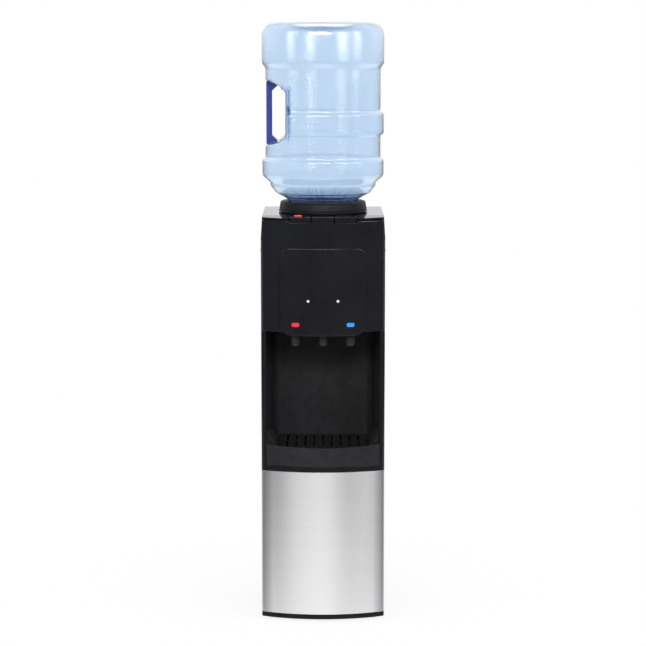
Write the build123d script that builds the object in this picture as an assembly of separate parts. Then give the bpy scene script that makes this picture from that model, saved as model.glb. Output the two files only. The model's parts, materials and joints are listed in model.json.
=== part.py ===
from build123d import *
import math
import os

# A free standing top loading water cooler with an inverted five gallon bottle.
# Millimetres, +Z up. X = 0 is the middle of the cabinet, the front faces -Y, and Z = 0 is the floor.

# Fits between pieces
seat_gap = 0.3
slide_gap = 0.6
running_gap = 0.08
snug_gap = 0.02
hole_gap = 0.3

# Reach of cutting shapes
past = 5.0
far = 400.0
sky = 1400.0

# Plan of the front mouldings
half_depth = 160.0
pad_raise = 4.0
front_y = -half_depth + pad_raise
body_half = 135.0
front_bow = 28.0
corner_radius = 9.0
mould_rear_setback = 38.0
mould_rear = front_y + mould_rear_setback

# Heights of the stack of mouldings
base_z = 10.0
base_height = 8.0
steel_height = 326.0
rail_height = 12.7
bay_height = 303.3
fascia_height = 249.0
steel_z = base_z + base_height
frame_z = steel_z + steel_height
rail_top = frame_z + rail_height
bay_top = rail_top + bay_height
fascia_top = bay_top + fascia_height
cover_top_rise = 6.0
cover_top = fascia_top + cover_top_rise
key_sill_drop = 7.5
key_sill = fascia_top - key_sill_drop

# Sheet metal cabinet
panel_half_outset = 3.0
panel_half = body_half + panel_half_outset
sheet = 1.0
cabinet_rear_advance = 30.0
cabinet_rear = half_depth - cabinet_rear_advance
panel_top_drop = 52.0
panel_top = cover_top - panel_top_drop
front_flange = 6.5
rear_flange = 13.0
fold_radius = 0.8
back_panel_z_drop = 94.0
back_panel_z = frame_z - back_panel_z_drop
vent_count = 5
vent_pitch = 11.0
vent_drop = 24.0
vent_x = 20.0
vent_length = 80.0
vent_width = 4.0

# Base and levelling feet
base_wall = 4.0
base_lip = 8.0
foot_x_inset = 22.0
foot_x = panel_half - foot_x_inset
foot_front_y_setback = 23.0
foot_front_y = mould_rear + foot_front_y_setback
foot_rear_y_advance = 25.0
foot_rear_y = cabinet_rear - foot_rear_y_advance
foot_radius = 13.0
foot_pad = 7.0
stud_radius = 4.0
boss_radius = 11.0
boss_top = 28.0

# Fascia, control panel, markers and indicators
fascia_wall = 3.0
ledge_width = 11.0
ledge_bevel = 3.6
pad_half_inset = 40.0
pad_half = body_half - pad_half_inset
pad_z_drop = 8.0
pad_z = bay_top - pad_z_drop
pad_height = 194.0
pad_top_radius = 19.0
pad_bottom_radius = 27.0
pad_bevel = 1.6
marker_x = 61.0
marker_z_rise = 25.0
marker_z = pad_z + marker_z_rise
marker_width = 17.0
marker_height = 9.0
marker_corner = 3.4
lens_x_inset = 62.0
lens_x = pad_half - lens_x_inset
lens_z_rise = 78.0
lens_z = pad_z + lens_z_rise
lens_radius = 3.0
insert_proud = 0.6

# Dispensing bay
post_width = 7.8
bay_wall = 2.5
bay_front_half_inset = 7.0
bay_front_half = body_half - bay_front_half_inset
bay_rear_half_inset = 15.0
bay_rear_half = bay_front_half - bay_rear_half_inset
bay_rear_advance = 111.0
bay_rear = cabinet_rear - bay_rear_advance
bay_rear_radius = 22.0
bay_rear_bow = 5.0
bay_slope_z_rise = 80.3
bay_slope_z = rail_top + bay_slope_z_rise
pocket_half_inset = 9.0
pocket_half = bay_rear_half - pocket_half_inset
pocket_top_rise = 41.3
pocket_top = rail_top + pocket_top_rise

# Drip tray and grille
tray_side_z_rise = 47.3
tray_side_z = rail_top + tray_side_z_rise
tray_middle_z_rise = 42.3
tray_middle_z = rail_top + tray_middle_z_rise
tray_wall = 2.5
tray_floor = 2.5
tray_rear_advance = 9.0
tray_rear = bay_rear - tray_rear_advance
tray_front_rear_setback = 28.0
tray_front_rear = front_y + tray_front_rear_setback
tray_rim_z_rise = 40.2
tray_rim_z = rail_top + tray_rim_z_rise
grille_thickness = 3.0
grille_ledge = 3.0
grille_drop = 0.5
slot_pitch = 20.0
slot_width = 4.0
slot_count = 9
slot_setback = (26.0, 84.0, 94.0)
slot_rear_margin = 18.0
slot_rows = ((front_y + slot_setback[0], front_y + slot_setback[1]),
             (front_y + slot_setback[2], tray_rear - slot_rear_margin))

# Top cover
cover_rear_setback = 10.0
cover_rear = cabinet_rear + cover_rear_setback
cover_wall = 3.0
cover_draft = 3.0
cover_front_drop = 4.0
cover_slope_y_setback = 56.0
cover_slope_y = front_y + cover_slope_y_setback
skirt_depth = 38.0
skirt_inset = 6.0
collar_seat_radius = 98.0
collar_seat_drop = 7.0
collar_seat_width = 10.0

# Push keys
key_pitch = 50.4
key_width = 48.0
key_front_gap = 1.0
key_rear_y_setback = 24.5
key_rear_y = front_y + key_rear_y_setback
key_skirt = 5.5
key_wall = 2.2
key_edge_radius = 1.2
hinge_y_setback = 58.0
hinge_y = front_y + hinge_y_setback
hinge_z_drop = 13.0
hinge_z = cover_top - hinge_z_drop
hinge_radius = 2.0
barrel_radius = 4.5
arm_thickness = 3.0
ear_thickness = 4.0
rod_overhang = 1.5
lock_x_outset = 4.6
lock_x = -key_pitch - lock_x_outset
lock_y_setback = 15.4
lock_y = front_y + lock_y_setback
lock_width = 17.0
lock_depth = 6.0
lock_height = 3.7
lock_travel = 3.5
lock_corner = 1.5
lock_bevel = 0.7
lock_stem_inset = 3.0
lock_catch = 0.4

# Taps and push rods
tap_x = marker_x
tap_y_setback = 28.0
tap_y = front_y + tap_y_setback
tap_radius = 13.0
nozzle_radius = 11.0
nozzle_z_drop = 34.0
nozzle_z = bay_top - nozzle_z_drop
nozzle_bevel = 1.5
nozzle_lip = 6.0
tap_top_rise = 67.0
tap_top = bay_top + tap_top_rise
tap_bevel = 3.0
tap_shoulder = 8.0
inlet_z_rise = 40.0
inlet_z = bay_top + inlet_z_rise
passage_radius = 6.0
nipple_radius = 5.0
nipple_bore = 3.0
nipple_reach = 5.0
rod_radius = 3.0
rod_entry = 11.0
rod_bore_depth = 17.0
spring_height = 18.0
spring_radius = 4.6
spring_wire = 0.6
spring_turns = 4
spring_steps = 10
spring_end_gap = 0.3
rod_flange_radius = 6.0
rod_flange = 2.0
guide_z_rise = 128.0
guide_z = bay_top + guide_z_rise
guide_thickness = 4.0
guide_half_outset = 23.0
guide_half = tap_x + guide_half_outset
guide_boss = 6.0
guide_boss_wall = 3.0

# Bottle collar and feed probe
collar_radius = 100.0
collar_rim_radius = 96.0
collar_rim_z_rise = 25.0
collar_rim_z = cover_top + collar_rim_z_rise
collar_rim_width = 9.0
collar_rim_bevel = 1.5
collar_tier_z_rise = 3.0
collar_tier_z = cover_top + collar_tier_z_rise
collar_wall = 3.0
well_radius = 31.0
well_z_drop = 73.0
well_z = cover_top - well_z_drop
collar_skirt_radius = 79.0
probe_radius = 8.8
probe_top_drop = 12.0
probe_top = cover_top - probe_top_drop
probe_wall = 2.0
probe_flange = 6.0
probe_tail = 12.0
probe_point = 14.0
probe_slot_width = 5.0
probe_slot_drop = (34.0, 18.0)

# Bottle, standing on its neck
bottle_wall = 1.8
neck_radius = 26.5
neck_z_drop = 65.2
neck_z = cover_top - neck_z_drop
neck_top_drop = 22.0
neck_top = cover_top - neck_top_drop
seat_low_radius = 30.0
seat_low_drop = 18.0
seat_low = (seat_low_radius, cover_top - seat_low_drop)
seat_high_radius = 82.6
seat_high_rise = 31.0
seat_high = (seat_high_radius, cover_top + seat_high_rise)
shoulder_flat_radius = 106.0
shoulder_flat_rise = 44.0
shoulder_flat = (shoulder_flat_radius, cover_top + shoulder_flat_rise)
shoulder_corner = 12.0
shoulder_step_rise = 16.0
shoulder_step_radius = 118.7
shoulder_step_z_rise = 67.0
shoulder_step_z = cover_top + shoulder_step_z_rise
ring_radius = 136.7
body_radius = 129.5
end_radius = 137.5
ring_rise = 4.0
shoulder_z_rise = 81.0
shoulder_z = cover_top + shoulder_z_rise
ring_low_rise = 85.0
ring_low_height = 34.0
ring_low = (cover_top + ring_low_rise, cover_top + ring_low_rise + ring_low_height)
ring_high_rise = 177.0
ring_high_height = 46.0
ring_high = (cover_top + ring_high_rise, cover_top + ring_high_rise + ring_high_height)
end_z_rise = 335.0
end_z = cover_top + end_z_rise
bottle_top_rise = 424.0
bottle_top = cover_top + bottle_top_rise
bottle_corner = 28.0
dome_radius = 94.0
dome_inner_radius = 56.0
dome_shoulder_depth = 11.0
dome_depth = 14.0
recess_x = -83.0
recess_low_rise = 166.0
recess_low = cover_top + recess_low_rise
recess_high_rise = 278.0
recess_high = cover_top + recess_high_rise
recess_corner = 12.0
recess_mouth_x = -end_radius - past
recess_low_flare = 20.0
recess_high_flare = 25.0
handle_outer = -127.5
handle_bar = 13.0
handle_depth = 22.0
handle_root = 13.5
handle_chamfer = 13.0
handle_corner = 3.0
cap_radius = 28.6
cap_wall = 1.6
cap_height = 32.0
cap_hole = 9.5

# Cold side
tank_radius = 75.0
tank_wall = 1.0
tank_z_rise = 30.0
tank_z = bay_top + tank_z_rise
tank_top_drop = 1.0
tank_top = panel_top - tank_top_drop
tank_flange = 7.0
tank_corner = 5.0
flange_sheet = 2.0
nipple_root = 6.0
cold_jacket_radius = 98.0
sleeve_gap = 0.2
sleeve_wall = 2.0
sleeve_z_rise = 45.0
sleeve_z = tank_z + sleeve_z_rise
sleeve_height = 90.0
line_port_z_rise = 90.0
line_port_z = tank_z + line_port_z_rise
line_port_x = 12.0
baffle_z_rise = 85.0
baffle_z = tank_z + baffle_z_rise
baffle_sheet = 2.0
baffle_hole = 4.0
baffle_hole_circle = 45.0
baffle_hole_count = 6
down_pipe_inset = 14.0
down_pipe_radius = 6.0
down_pipe_bore = 4.0
down_pipe_rise = 12.0
feed_x = 54.0
feed_y = 36.0

# Hot side
hot_y_advance = 54.4
hot_y = cabinet_rear - hot_y_advance
hot_radius = 42.0
hot_z_drop = 215.0
hot_z = bay_top - hot_z_drop
hot_top_drop = 38.0
hot_top = bay_top - hot_top_drop
hot_dome = 10.0
hot_dome_run = 16.0
hot_wall = 1.5
hot_jacket_half = 50.0
hot_jacket_corner = 20.0
hot_jacket_wall = 9.7
hot_jacket_top_drop = 20.0
hot_jacket_top = bay_top - hot_jacket_top_drop
hot_nipple_drop = 6.0
band_z_rise = 25.0
band_z = hot_z + band_z_rise
band_height = 30.0
band_wall = 2.0
hot_out_x = -25.0
hot_in_x = 20.0
drain_x = -20.0
thermostat_x = 14.0
thermostat_radius = 8.0
thermostat_height = 6.0
thermostat_spread = 14.0
terminal_half = 9.0
terminal_half_width = 2.5

# Water hoses
pipe_sides = 8
hose_bend = 15.0
hose_short_bend = 9.0
hose_side = 16.0
hose_rise = 11.0
hose_drop = 16.0

# Compressor
pump_y_advance = 80.0
pump_y = cabinet_rear - pump_y_advance
pump_radius = 64.0
pump_height = 152.0
pump_wall = 8.0
pump_dome = 38.0
pump_dome_bands = 3
pump_foot = (6.0, 10.0)
pump_seam_z = 70.0
pump_seam = 3.0
relay_depth = 18.0
relay_half = 20.0
relay_rise = (24.0, 64.0)
pump_plate_half = 70.0
pump_plate = 3.0
pump_plate_margin = 12.0
grommet_radius = 9.0
grommet_height = 12.0
grommet_neck = 4.7
grommet_bore = 2.5
grommet_spread_x = 60.0
grommet_spread_y = 52.0
suction_y_setback = 15.0
suction_y = pump_y + suction_y_setback
suction_z = 150.0
discharge_y_advance = 15.0
discharge_y = pump_y - discharge_y_advance
discharge_z = 110.0
port_reach = 75.0

# Condenser and refrigerant lines
line_radius = 3.0
line_bend = 12.0
line_wall = 1.2
coil_radius = 2.5
wire = 1.6
wire_overhang = 10.0
coil_half_inset = 63.0
coil_half = panel_half - coil_half_inset
coil_z_rise = 1.0
coil_z = frame_z + coil_z_rise
coil_pitch = 65.0
coil_passes = 7
wire_count = 13
wire_pitch = 15.0
bracket_wire = 4
bracket_width = 12.0
bracket_sheet = 1.5
bracket_leg = 14.0
bracket_inset = 40.0
drier_inset = 30.0
drier_x = drier_inset - panel_half
drier_y_advance = 30.0
drier_y = cabinet_rear - drier_y_advance
drier_z = 110.0
drier_height = 90.0
drier_radius = 9.0
drier_neck = 4.0
drier_taper = 12.0
drier_line_rise = 25.0
capillary_radius = 1.5
capillary_bend = 6.0
capillary_drop = 22.0
capillary_side = 14.0
capillary_y = 12.0
riser_x_inset = 26.0
riser_x = panel_half - riser_x_inset
outer_riser_x_inset = 20.0
outer_riser_x = panel_half - outer_riser_x_inset

# Rear fittings
fitting_z_rise = 40.0
fitting_z = back_panel_z + fitting_z_rise
drain_outlet_inset = 63.0
drain_outlet_x = drain_outlet_inset - panel_half
drain_radius = 8.0
drain_reach = 12.0
drain_nipple = 6.0
drain_flange = 4.0
drain_flange_sheet = 2.0
drain_cap_radius = 13.0
drain_cap_length = 13.0
drain_cap_wall = 2.0
drain_cap_bevel = 3.0
gland_x_inset = 48.0
gland_x = panel_half - gland_x_inset
gland_radius = 9.0
gland_bore = 4.0
gland_lip = 2.0
gland_inside = 3.0
gland_outside = 5.0
switch_inset = 78.0
switch_spacing = 35.0
switch_x = (panel_half - switch_inset, panel_half - switch_inset + switch_spacing)
switch_z_drop = 63.0
switch_z = panel_top - switch_z_drop
switch_half_width = 8.5
switch_half_height = 11.5
switch_depth = 16.0
switch_flange = 1.5
switch_frame = 1.5
pocket_depth = 6.5
pocket_side_gap = 0.4
pocket_end_gap = 1.0
pivot_radius = 1.2
rocker_half_width = 6.1
rocker_half_height = 9.0
rocker_tilt = 12.0
rocker_back_half = 5.0
rocker_back = -3.0
rocker_edge = 2.5
rocker_valley = 1.2
rocker_round = 0.6
screw_radius = 1.75
screw_head_radius = 3.5
screw_head = 1.0
screw_length = 6.0
side_screw_z_drop = 25.0
side_screw_z = panel_top - side_screw_z_drop
side_screw_front = 13.0
side_screw_rear = 20.0
side_screw_y = (mould_rear + side_screw_front, cabinet_rear - side_screw_rear)
rear_screw_x_inset = 7.0
rear_screw_x = panel_half - rear_screw_x_inset
rear_screw_low = 50.0
rear_screw_high = 63.0
rear_screw_z = (back_panel_z + rear_screw_low, panel_top - rear_screw_high)


def block(x0, x1, y0, y1, z0, z1):
    """A rectangular solid between six planes."""
    size = Box(x1 - x0, y1 - y0, z1 - z0)
    return Pos((x0 + x1) / 2, (y0 + y1) / 2, (z0 + z1) / 2) * size


def post(x, y, z0, z1, radius):
    """An upright cylinder."""
    return Pos(x, y, (z0 + z1) / 2) * Cylinder(radius, z1 - z0)


def bar_x(x0, x1, y, z, radius):
    """A cylinder along X."""
    return Pos((x0 + x1) / 2, y, z) * Rot(0, 90, 0) * Cylinder(radius, x1 - x0)


def bar_y(x, y0, y1, z, radius):
    """A cylinder along Y."""
    return Pos(x, (y0 + y1) / 2, z) * Rot(90, 0, 0) * Cylinder(radius, y1 - y0)


def rounded(points):
    """A flat face from (u, v, corner radius) points."""
    face = make_face(Polyline(*[(u, v) for u, v, r in points], close=True))
    for u, v, r in points:
        if r > 0:
            face = fillet(face.vertices().sort_by_distance((u, v, 0))[:1], r)
    return face


def turned(points):
    """A solid of revolution about Z from (radius, z, corner radius) points."""
    return revolve(Plane.XZ * rounded(points), Axis.Z)


def across(face, y0, y1):
    """An XZ face carried along Y from y0 to y1."""
    return extrude(Pos(0, y1, 0) * (Plane.XZ * face), y1 - y0)


def along_x(face, x0, x1):
    """A YZ face carried along X from x0 to x1."""
    return extrude(Pos(x0, 0, 0) * (Plane.YZ * face), x1 - x0)


def outline(rear_y, inset=0.0):
    """Plan of the front mouldings, bowed in front and cut at rear_y, moved inwards by inset."""
    left = (-body_half, front_y + front_bow)
    right = (body_half, front_y + front_bow)
    bow = ThreePointArc(left, (0, front_y), right)
    sides = Polyline(right, (body_half, far), (-body_half, far), left)
    face = fillet(make_face(bow + sides).vertices().sort_by(Axis.Y)[:2], corner_radius)
    if inset != 0:
        face = offset(face, -inset)
    return face & (Pos(0, rear_y - far) * Rectangle(2 * far, 2 * far))


def plan_block(rear_y, inset, z0, z1):
    """The plan outline carried up from z0 to z1."""
    return extrude(Pos(0, 0, z0) * outline(rear_y, inset), z1 - z0)


def plan_shell(wall, z0, z1):
    """A bowed front wall of one thickness, open behind."""
    outer = plan_block(mould_rear, 0, z0, z1)
    return outer - plan_block(mould_rear + far, wall, z0 - 1, z1 + 1)


def pipe(points, bends, radius):
    """A hose or line, filled inside, along straight runs joined by arcs, with a many sided section."""
    path = FilletPolyline(*points, radius=bends) if bends else Polyline(*points)
    solids = []
    for edge in path.edges():
        section = Plane(origin=edge @ 0, z_dir=edge % 0) * RegularPolygon(radius, pipe_sides)
        if edge.geom_type == GeomType.CIRCLE:
            turn = (edge @ 0 - edge.arc_center).cross(edge % 0)
            axis = Axis(edge.arc_center, turn)
            solids.append(revolve(section, axis, math.degrees(edge.length / edge.radius)))
        else:
            solids.append(extrude(section, edge.length, dir=edge % 0))
    return solids[0] + solids[1:]


def key_bank_half():
    """Half width of the opening that the three push keys stand in."""
    return 1.5 * key_pitch + slide_gap


def foot_places():
    """The four corners that carry a levelling foot."""
    return {
        "front_left": (-foot_x, foot_front_y),
        "front_right": (foot_x, foot_front_y),
        "rear_left": (-foot_x, foot_rear_y),
        "rear_right": (foot_x, foot_rear_y),
    }


def make_base_plate():
    """Moulded base: a hollow plinth, a lip inside the steel front, and four foot bosses."""
    base = plan_block(cabinet_rear, 0, base_z, steel_z)
    base -= plan_block(cabinet_rear - base_wall, base_wall, base_z - 1, steel_z - base_wall)
    lip_inset = sheet + seat_gap
    lip = plan_block(mould_rear - seat_gap, lip_inset, steel_z, steel_z + base_lip)
    lip -= plan_block(mould_rear + far, lip_inset + base_wall, steel_z, steel_z + base_lip + 1)
    base += lip
    for x, y in foot_places().values():
        base += post(x, y, base_z, boss_top, boss_radius)
        base -= post(x, y, base_z - 1, boss_top + 1, stud_radius + running_gap)
    return base


def make_foot(x, y):
    """Levelling foot: a round pad with a tapered top and a stud that turns in the base."""
    top = base_z - seat_gap
    pad = turned([(0, 0, 0), (foot_radius, 0, 0), (foot_radius, foot_pad, 0), (boss_radius, top, 0),
                  (stud_radius, top, 0), (stud_radius, boss_top, 0), (0, boss_top, 0)])
    return Pos(x, y, 0) * pad


def side_screw_hole(side, y, radius):
    """The hole of one side screw."""
    return bar_x(side * panel_half - 2 * past, side * panel_half + past, y, side_screw_z, radius)


def make_side_panel(side):
    """Folded sheet side, with a flange towards the front mouldings and one towards the back."""
    outer = panel_half
    inner = panel_half - sheet
    front_tip = panel_half - front_flange
    rear_tip = panel_half - rear_flange
    front = mould_rear
    rear = cabinet_rear
    bend = fold_radius + sheet
    plan = rounded([(front_tip, front, 0), (outer, front, bend), (outer, rear, bend), (rear_tip, rear, 0),
                    (rear_tip, rear - sheet, 0), (inner, rear - sheet, fold_radius),
                    (inner, front + sheet, fold_radius), (front_tip, front + sheet, 0)])
    panel = extrude(Pos(0, 0, steel_z) * plan, panel_top - steel_z)
    if side < 0:
        panel = mirror(panel, about=Plane.YZ)
    for y in side_screw_y:
        panel -= side_screw_hole(side, y, screw_radius + snug_gap)
    for z in rear_screw_z:
        panel -= bar_y(side * rear_screw_x, rear - past, rear + past, z, screw_radius + snug_gap)
    return panel


def make_back_panel():
    """Back sheet with vents, a folded shelf under the hot tank, and the holes of the rear fittings."""
    y0 = cabinet_rear
    y1 = cabinet_rear + sheet
    half = panel_half - sheet
    panel = block(-half, half, y0, y1, back_panel_z, panel_top)
    shelf_top = hot_z - hot_jacket_wall - seat_gap
    shelf_y = hot_y + nipple_radius + 2
    panel += block(-hot_jacket_half, hot_jacket_half, shelf_y, y0 + sheet, shelf_top - sheet, shelf_top)
    for side in (-1, 1):
        for z in rear_screw_z:
            panel -= bar_y(side * rear_screw_x, y0 - past, y1 + past, z, screw_radius + snug_gap)
    for i in range(vent_count):
        z = panel_top - vent_drop - i * vent_pitch
        panel -= block(-vent_length - vent_x, -vent_x, y0 - 1, y1 + 1, z, z + vent_width)
    for x in switch_x:
        dx = switch_half_width + hole_gap
        dz = switch_half_height + hole_gap
        panel -= block(x - dx, x + dx, y0 - 1, y1 + 1, switch_z - dz, switch_z + dz)
    panel -= bar_y(drain_outlet_x, y0 - 1, y1 + 1, fitting_z, drain_radius + hole_gap)
    panel -= bar_y(gland_x, y0 - 1, y1 + 1, fitting_z, gland_radius + hole_gap)
    return panel


def make_steel_front():
    """Bowed stainless sheet across the lower front, wrapped round both corners."""
    return plan_shell(sheet, steel_z, frame_z)


def make_front_frame():
    """Moulded frame: two posts beside the bay and a hollow rail under the drip tray."""
    frame = plan_block(mould_rear, 0, frame_z, bay_top)
    opening = body_half - post_width
    frame -= block(-opening, opening, -far, mould_rear + 1, rail_top, bay_top + 1)
    frame -= plan_block(mould_rear + 1, fascia_wall, frame_z - 1, rail_top - fascia_wall)
    return frame


def make_upper_fascia():
    """Bowed upper front with a bevelled ledge along its top and a notch under the push keys."""
    fascia = plan_shell(fascia_wall, bay_top, fascia_top)
    ledge_z = fascia_top - ledge_bevel - 1
    ledge = plan_block(mould_rear, 0, ledge_z, fascia_top)
    ledge -= plan_block(mould_rear + far, ledge_width, ledge_z - 1, fascia_top + 1)
    fascia += ledge
    top_edges = fascia.edges().filter_by_position(Axis.Z, fascia_top, fascia_top)
    front_edge = top_edges.sort_by(Axis.Y)[:1]
    fascia = chamfer(front_edge, ledge_bevel)
    notch = key_bank_half()
    fascia -= block(-notch, notch, -far, mould_rear - 1, key_sill, fascia_top + 1)
    return fascia


def pad_shape(face, proud):
    """A shape on the fascia's bowed face, with proud as its thickness."""
    skin = plan_block(mould_rear, -proud, bay_top - far, fascia_top)
    skin -= plan_block(mould_rear + far, 0, bay_top - far - 1, fascia_top + 1)
    return skin & across(face, -half_depth - past, mould_rear)


def marker_face(side, grow=0.0):
    """Rounded outline of a tap marker."""
    w = marker_width / 2 + grow
    h = marker_height / 2 + grow
    r = marker_corner
    x = side * marker_x
    return rounded([(x - w, marker_z - h, r), (x + w, marker_z - h, r),
                    (x + w, marker_z + h, r), (x - w, marker_z + h, r)])


def make_control_panel():
    """Raised panel that follows the bow and hangs over the bay, with pockets for its inserts."""
    low = pad_z
    high = pad_z + pad_height
    face = rounded([(-pad_half, low, pad_bottom_radius), (pad_half, low, pad_bottom_radius),
                    (pad_half, high, pad_top_radius), (-pad_half, high, pad_top_radius)])
    panel = pad_shape(face, pad_raise)
    panel = fillet(panel.faces().sort_by(Axis.Y)[0].edges(), pad_bevel)
    for side in (-1, 1):
        panel -= across(marker_face(side, snug_gap), -half_depth - past, mould_rear)
        panel -= bar_y(side * lens_x, -half_depth - past, mould_rear, lens_z, lens_radius + snug_gap)
    return panel


def make_marker(side):
    """Coloured marker over one tap."""
    return pad_shape(marker_face(side), pad_raise + insert_proud)


def make_lenses():
    """The two round indicator lenses."""
    lenses = []
    for side in (-1, 1):
        face = Pos(side * lens_x, lens_z) * Circle(lens_radius)
        lenses.append(pad_shape(face, pad_raise + insert_proud))
    return lenses


def bay_volume(grow, front_y_edge):
    """The bay and the drip tray pocket below it, grown outwards by the wall."""
    front = bay_front_half + grow
    rear = bay_rear_half + grow
    corner = bay_rear_radius + grow
    back = bay_rear + grow
    taper = (bay_front_half - bay_rear_half) / (bay_rear - mould_rear)
    front += taper * (mould_rear - front_y_edge)
    left = (-rear, back)
    right = (rear, back)
    arc = ThreePointArc(left, (0, back + bay_rear_bow), right)
    sides = Polyline(right, (front, front_y_edge), (-front, front_y_edge), left)
    plan = fillet(make_face(arc + sides).vertices().sort_by(Axis.Y)[-2:], corner)
    low = rail_top + seat_gap - grow
    high = bay_top + grow
    tall = extrude(Pos(0, 0, low) * plan, high - low)
    p = pocket_half + grow
    w = bay_front_half + grow
    section = make_face(Polyline((-p, low), (p, low), (p, pocket_top), (w, bay_slope_z), (w, high),
                                 (-w, high), (-w, bay_slope_z), (-p, pocket_top), close=True))
    return tall & across(section, front_y_edge, back + bay_rear_bow + past)


def make_bay_liner():
    """Moulded bay: back, tapered sides, tray pocket, and a roof that carries the three taps."""
    liner = bay_volume(bay_wall, mould_rear) - bay_volume(0, mould_rear - 1)
    inset = fascia_wall + seat_gap
    liner += plan_block(mould_rear, inset, bay_top, bay_top + bay_wall)
    for x in (-tap_x, 0, tap_x):
        liner -= post(x, tap_y, bay_top - 1, bay_top + bay_wall + 1, nozzle_radius + hole_gap)
    return liner


def make_drip_tray():
    """Drip tray: a basin with a stepped rim for the grille, behind a bowed front with a dipped top."""
    z0 = rail_top + 2 * seat_gap
    half = body_half - post_width - slide_gap
    front = plan_block(tray_front_rear, 0, z0, tray_side_z) - plan_block(far, fascia_wall, z0 - 1, sky)
    front &= block(-half, half, -far, mould_rear, z0, tray_side_z)
    dip = make_face(ThreePointArc((-half, tray_side_z), (0, tray_middle_z), (half, tray_side_z))
                    + Polyline((half, tray_side_z), (half, tray_side_z + past), (-half, tray_side_z + past),
                               (-half, tray_side_z)))
    front -= across(dip, -half_depth - past, mould_rear)
    side = pocket_half - slide_gap
    basin = plan_block(tray_rear, 1, z0, tray_rim_z) & block(-side, side, -far, far, 0, sky)
    upper = plan_block(tray_rear - tray_wall, fascia_wall, tray_rim_z - grille_drop, sky)
    upper &= block(tray_wall - side, side - tray_wall, -far, far, 0, sky)
    wall = tray_wall + grille_ledge
    lower = plan_block(tray_rear - wall, fascia_wall + grille_ledge, z0 + tray_floor, sky)
    lower &= block(wall - side, side - wall, -far, far, 0, sky)
    return front + (basin - upper - lower)


def make_drip_grille():
    """Slotted grille that drops into the rim of the tray."""
    z0 = tray_rim_z - grille_drop + seat_gap
    side = pocket_half - slide_gap - tray_wall - grille_drop
    rear = tray_rear - tray_wall - grille_drop
    grille = plan_block(rear, fascia_wall + grille_drop, z0, z0 + grille_thickness)
    grille &= block(-side, side, -far, far, 0, sky)
    for i in range(slot_count):
        x = (i - (slot_count - 1) / 2) * slot_pitch
        for y0, y1 in slot_rows:
            grille -= block(x - slot_width / 2, x + slot_width / 2, y0, y1, z0 - 1, z0 + past)
    return grille


def make_top_cover():
    """Top cover: drafted sides, a dished seat for the collar, a key opening, and two hinge ears."""
    low = panel_half
    high = panel_half - cover_draft
    outer = loft([Pos(0, (mould_rear + cover_rear) / 2, panel_top)
                  * Rectangle(2 * low, cover_rear - mould_rear),
                  Pos(0, (mould_rear + cover_rear - cover_draft) / 2, cover_top)
                  * Rectangle(2 * high, cover_rear - cover_draft - mould_rear)])
    inner_rear = cover_rear - cover_wall
    inner = loft([Pos(0, (mould_rear - 1 + inner_rear) / 2, panel_top - 1)
                  * Rectangle(2 * (low - cover_wall), inner_rear - mould_rear + 1),
                  Pos(0, (mould_rear - 1 + inner_rear - cover_draft) / 2, cover_top - cover_wall)
                  * Rectangle(2 * (high - cover_wall), inner_rear - cover_draft - mould_rear + 1)])
    plate_z = fascia_top + seat_gap
    plate = plan_block(mould_rear, 0, plate_z, cover_top)
    cover = outer - inner + plate
    slope = make_face(Polyline((-half_depth - past, cover_top - cover_front_drop), (cover_slope_y, cover_top),
                               (cover_slope_y, cover_top + past), (-half_depth - past, cover_top + past),
                               close=True))
    cover -= along_x(slope, -far, far)
    opening = key_bank_half()
    cover -= block(-opening, opening, -far, key_rear_y + 1, plate_z - past, cover_top + past)
    cover -= post(0, 0, cover_top - 2 * past, cover_top + past, collar_seat_radius)
    seat_in = collar_seat_radius - collar_seat_width
    seat_z = cover_top - collar_seat_drop
    cover += turned([(collar_seat_radius, cover_top, 0), (seat_in, seat_z, 0),
                     (seat_in, seat_z - bay_wall, 0), (collar_seat_radius + 1, cover_top - cover_wall, 0),
                     (collar_seat_radius + 1, cover_top - 0.5, 0)])
    for side in (-1, 1):
        x1 = panel_half - sheet - seat_gap
        skirt = block(x1 - cover_wall, x1, mould_rear + skirt_inset, cabinet_rear - skirt_inset,
                      panel_top - skirt_depth, panel_top + 2)
        if side < 0:
            skirt = mirror(skirt, about=Plane.YZ)
        cover += skirt
        for y in side_screw_y:
            cover -= side_screw_hole(side, y, screw_radius + snug_gap)
        x = side * (opening + ear_thickness / 2 + 1)
        cover += block(x - ear_thickness / 2, x + ear_thickness / 2, hinge_y - barrel_radius,
                       hinge_y + barrel_radius, hinge_z - barrel_radius, cover_top - 1)
    cover -= bar_x(-far, far, hinge_y, hinge_z, hinge_radius + snug_gap) & block(
        -opening - 2 * past, opening + 2 * past, -far, far, 0, sky)
    return cover


def key_rod_span():
    """Half length of the rod that the three keys turn on."""
    return key_bank_half() + ear_thickness + rod_overhang


def make_hinge_rod():
    """Steel rod through the ears of the top cover and the barrels of the keys."""
    return bar_x(-key_rod_span(), key_rod_span(), hinge_y, hinge_z, hinge_radius)


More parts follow.
